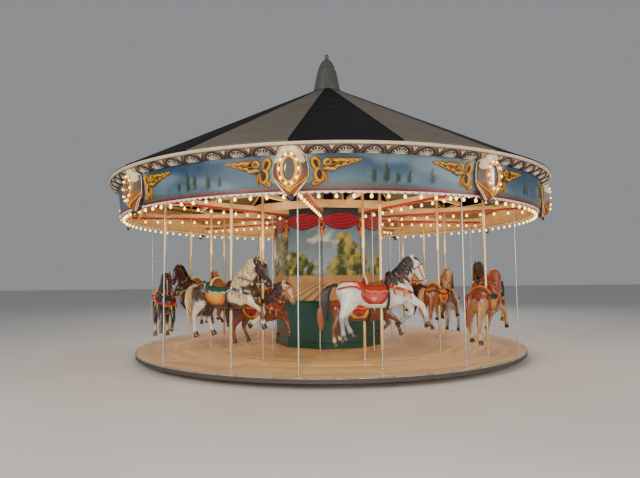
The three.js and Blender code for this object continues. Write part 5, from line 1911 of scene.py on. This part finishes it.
cream, white, black = (0.58, 0.41, 0.21), (0.66, 0.61, 0.52), (0.022, 0.017, 0.015)
darkBrown, bay, chestnut = (0.062, 0.024, 0.014), (0.17, 0.055, 0.020), (0.28, 0.080, 0.022)
red, green = (0.34, 0.010, 0.010), (0.007, 0.045, 0.034)
gold, orange = (0.62, 0.30, 0.015), (0.58, 0.105, 0.008)
blue, pink, navy = (0.040, 0.095, 0.22), (0.48, 0.045, 0.055), (0.018, 0.026, 0.075)

coats = {                    # coat, patches, where they start, head, mane, legs, stockings up to, hooves
    "pinto": ((0.62, 0.50, 0.33), darkBrown, -0.12, (0.040, 0.018, 0.012), cream, (0.62, 0.50, 0.33), 0.30,
              black),
    "cream": (white, (0.50, 0.44, 0.34), 0.62, white, black, (0.30, 0.28, 0.26), 0.34, black),
    "red": ((0.15, 0.050, 0.022), darkBrown, 0.45, bay, (0.36, 0.115, 0.040), cream, 0.16, black),
    "golden": ((0.44, 0.21, 0.060), (0.17, 0.030, 0.014), 0.22, (0.50, 0.30, 0.11), (0.30, 0.075, 0.028),
               cream, 0.16, black),
    "blaze": ((0.17, 0.042, 0.020), darkBrown, 0.40, cream, (0.035, 0.020, 0.018), bay, 0.10, black),
    "dark": (darkBrown, black, 0.20, darkBrown, black, darkBrown, 0.10, black),
    "amber": (chestnut, bay, 0.30, chestnut, (0.42, 0.24, 0.10), cream, 0.20, black),
    "black": (black, (0.06, 0.045, 0.04), 0.2, black, (0.05, 0.04, 0.035), cream, 0.22, (0.10, 0.07, 0.05)),
    "grey": ((0.34, 0.32, 0.30), (0.52, 0.50, 0.46), 0.10, (0.40, 0.38, 0.35), white, (0.20, 0.19, 0.18),
             0.26, black),
}
coatWords = ("coat", "patch", "patchFrom", "head", "mane", "legs", "stockings", "hoof")
tacks = {                    # blanket, its edge, its flower, saddle, trim, cantle roll, straps, jewels
    "meadow": (gold, orange, (0.52, 0.30, 0.03), green, (0.34, 0.42, 0.36), cream, black, white),
    "rose": (pink, red, gold, red, gold, cream, red, gold),
    "ember": (gold, red, orange, black, gold, orange, red, gold),
    "scarlet": (red, gold, green, red, gold, gold, red, white),
    "saffron": (orange, gold, red, orange, black, gold, black, gold),
    "sea": (blue, gold, white, navy, gold, red, red, gold),
    "moss": (green, gold, red, darkBrown, gold, gold, red, gold),
}
tackWords = ("blanket", "edge", "flower", "saddle", "trim", "roll", "strap", "jewel")
herd = {
    "outer": ["cream", "golden", "black", "pinto", "amber", "grey", "dark", "black", "pinto"],
    "inner": ["red", "amber", "grey", "dark", "cream", "pinto", "amber", "amber", "blaze"],
    "outerTack": ["rose", "ember", "sea", "moss", "scarlet", "rose", "meadow", "scarlet", "meadow"],
    "innerTack": ["scarlet", "saffron", "meadow", "rose", "sea", "ember", "moss", "saffron", "scarlet"],
}

carvedPoints, carvedFaces = carveHorse(horse)
horsePaint = makeFinish("horsePaint", {"tinted": True, "vary": 0.16, "grain": 9.0, "fine": 50.0,
                                       "rough": 0.27, "roughVary": 0.08, "coat": 0.35, "coatRough": 0.15,
                                       "bump": 0.08, "worn": (0.20, 0.13, 0.08), "wornScale": 10.0,
                                       "wornFrom": 0.72, "wornMost": 0.5})
hairPaint = makeFinish("hairPaint", {"tinted": True, "vary": 0.22, "grain": 24.0, "fine": 120.0,
                                     "rough": 0.42, "coat": 0.15, "bump": 0.35})
tackPaint = makeFinish("tackPaint", {"tinted": True, "vary": 0.14, "grain": 14.0, "fine": 90.0,
                                     "rough": 0.42, "coat": 0.12, "bump": 0.15, "worn": (0.18, 0.11, 0.06),
                                     "wornFrom": 0.71, "wornMost": 0.5})


pole = {
    "low": 0.364,            # its ends while the horse is halfway up
    "high": 3.250,
    "radius": 0.024,
    "bore": 0.0140,
    "boreDepth": 0.425,
    "joints": (0.5, 1.0, 1.6),
}


def makePole(facts, lift):
    # a turned brass tube, hollow at the foot where it slides on the guide rod
    low, high, r = facts["low"] + lift, facts["high"] + lift, facts["radius"]
    top = low + facts["boreDepth"]
    foot = [(0.0, top), (facts["bore"], top), (facts["bore"], low), (0.0225, low), (r, low + 0.003)]
    middle = [(r, low + step) for step in facts["joints"]]
    return spin(foot + middle + [(r, high - 0.004), (0.020, high), (0.0, high)], 20)


eyes = [boss(np.array(horse["eye"]) * (1, side, 1), horse["eyeSize"], (0.015, 0.010, 0.008), 8, 12)
        for side in (-1, 1)]
rowFacts = (("outer", machine["outerRow"], 1.0), ("inner", machine["innerRow"], horse["innerScale"]))
for row, radius, scale in rowFacts:
    for number in range(machine["bays"]):
        body = f"horse_{row}_{number + 1}"
        odd = row == "inner"
        lift = horse["lift"] if (number + odd) % 2 == 0 else -horse["lift"]
        seed = 40 + 2 * number + odd
        rng = np.random.default_rng(seed)
        coat = dict(zip(coatWords, coats[herd[row][number]]))
        tack = dict(zip(tackWords, tacks[herd[row + "Tack"][number]]))
        stand = aboutPole(bayCentres[number], radius, horse["hoofMid"] + lift) @ np.diag([scale] * 3 + [1])
        carving = {"points": carvedPoints, "quads": carvedFaces, "slots": np.zeros(len(carvedFaces), int),
                   "tint": coatTint(carvedPoints, coat, seed), "uv": carvedPoints[:, [0, 2]]}
        makePiece(f"{body}_carving", [moved(p, stand) for p in [carving] + eyes], [horsePaint], body,
                  [body], sharp=180)
        makePiece(f"{body}_mane", [moved(p, stand) for p in makeHair(horse, coat["mane"], rng)], [hairPaint],
                  body, sharp=75)
        makePiece(f"{body}_tack", [moved(p, stand) for p in makeTack(saddlery, tack)], [tackPaint], body)
        tube = moved(makePole(pole, lift), aboutPole(bayCentres[number], radius))
        makePiece(f"{body}_pole", [tube], [common["brass"]], body)
print("horses carved")
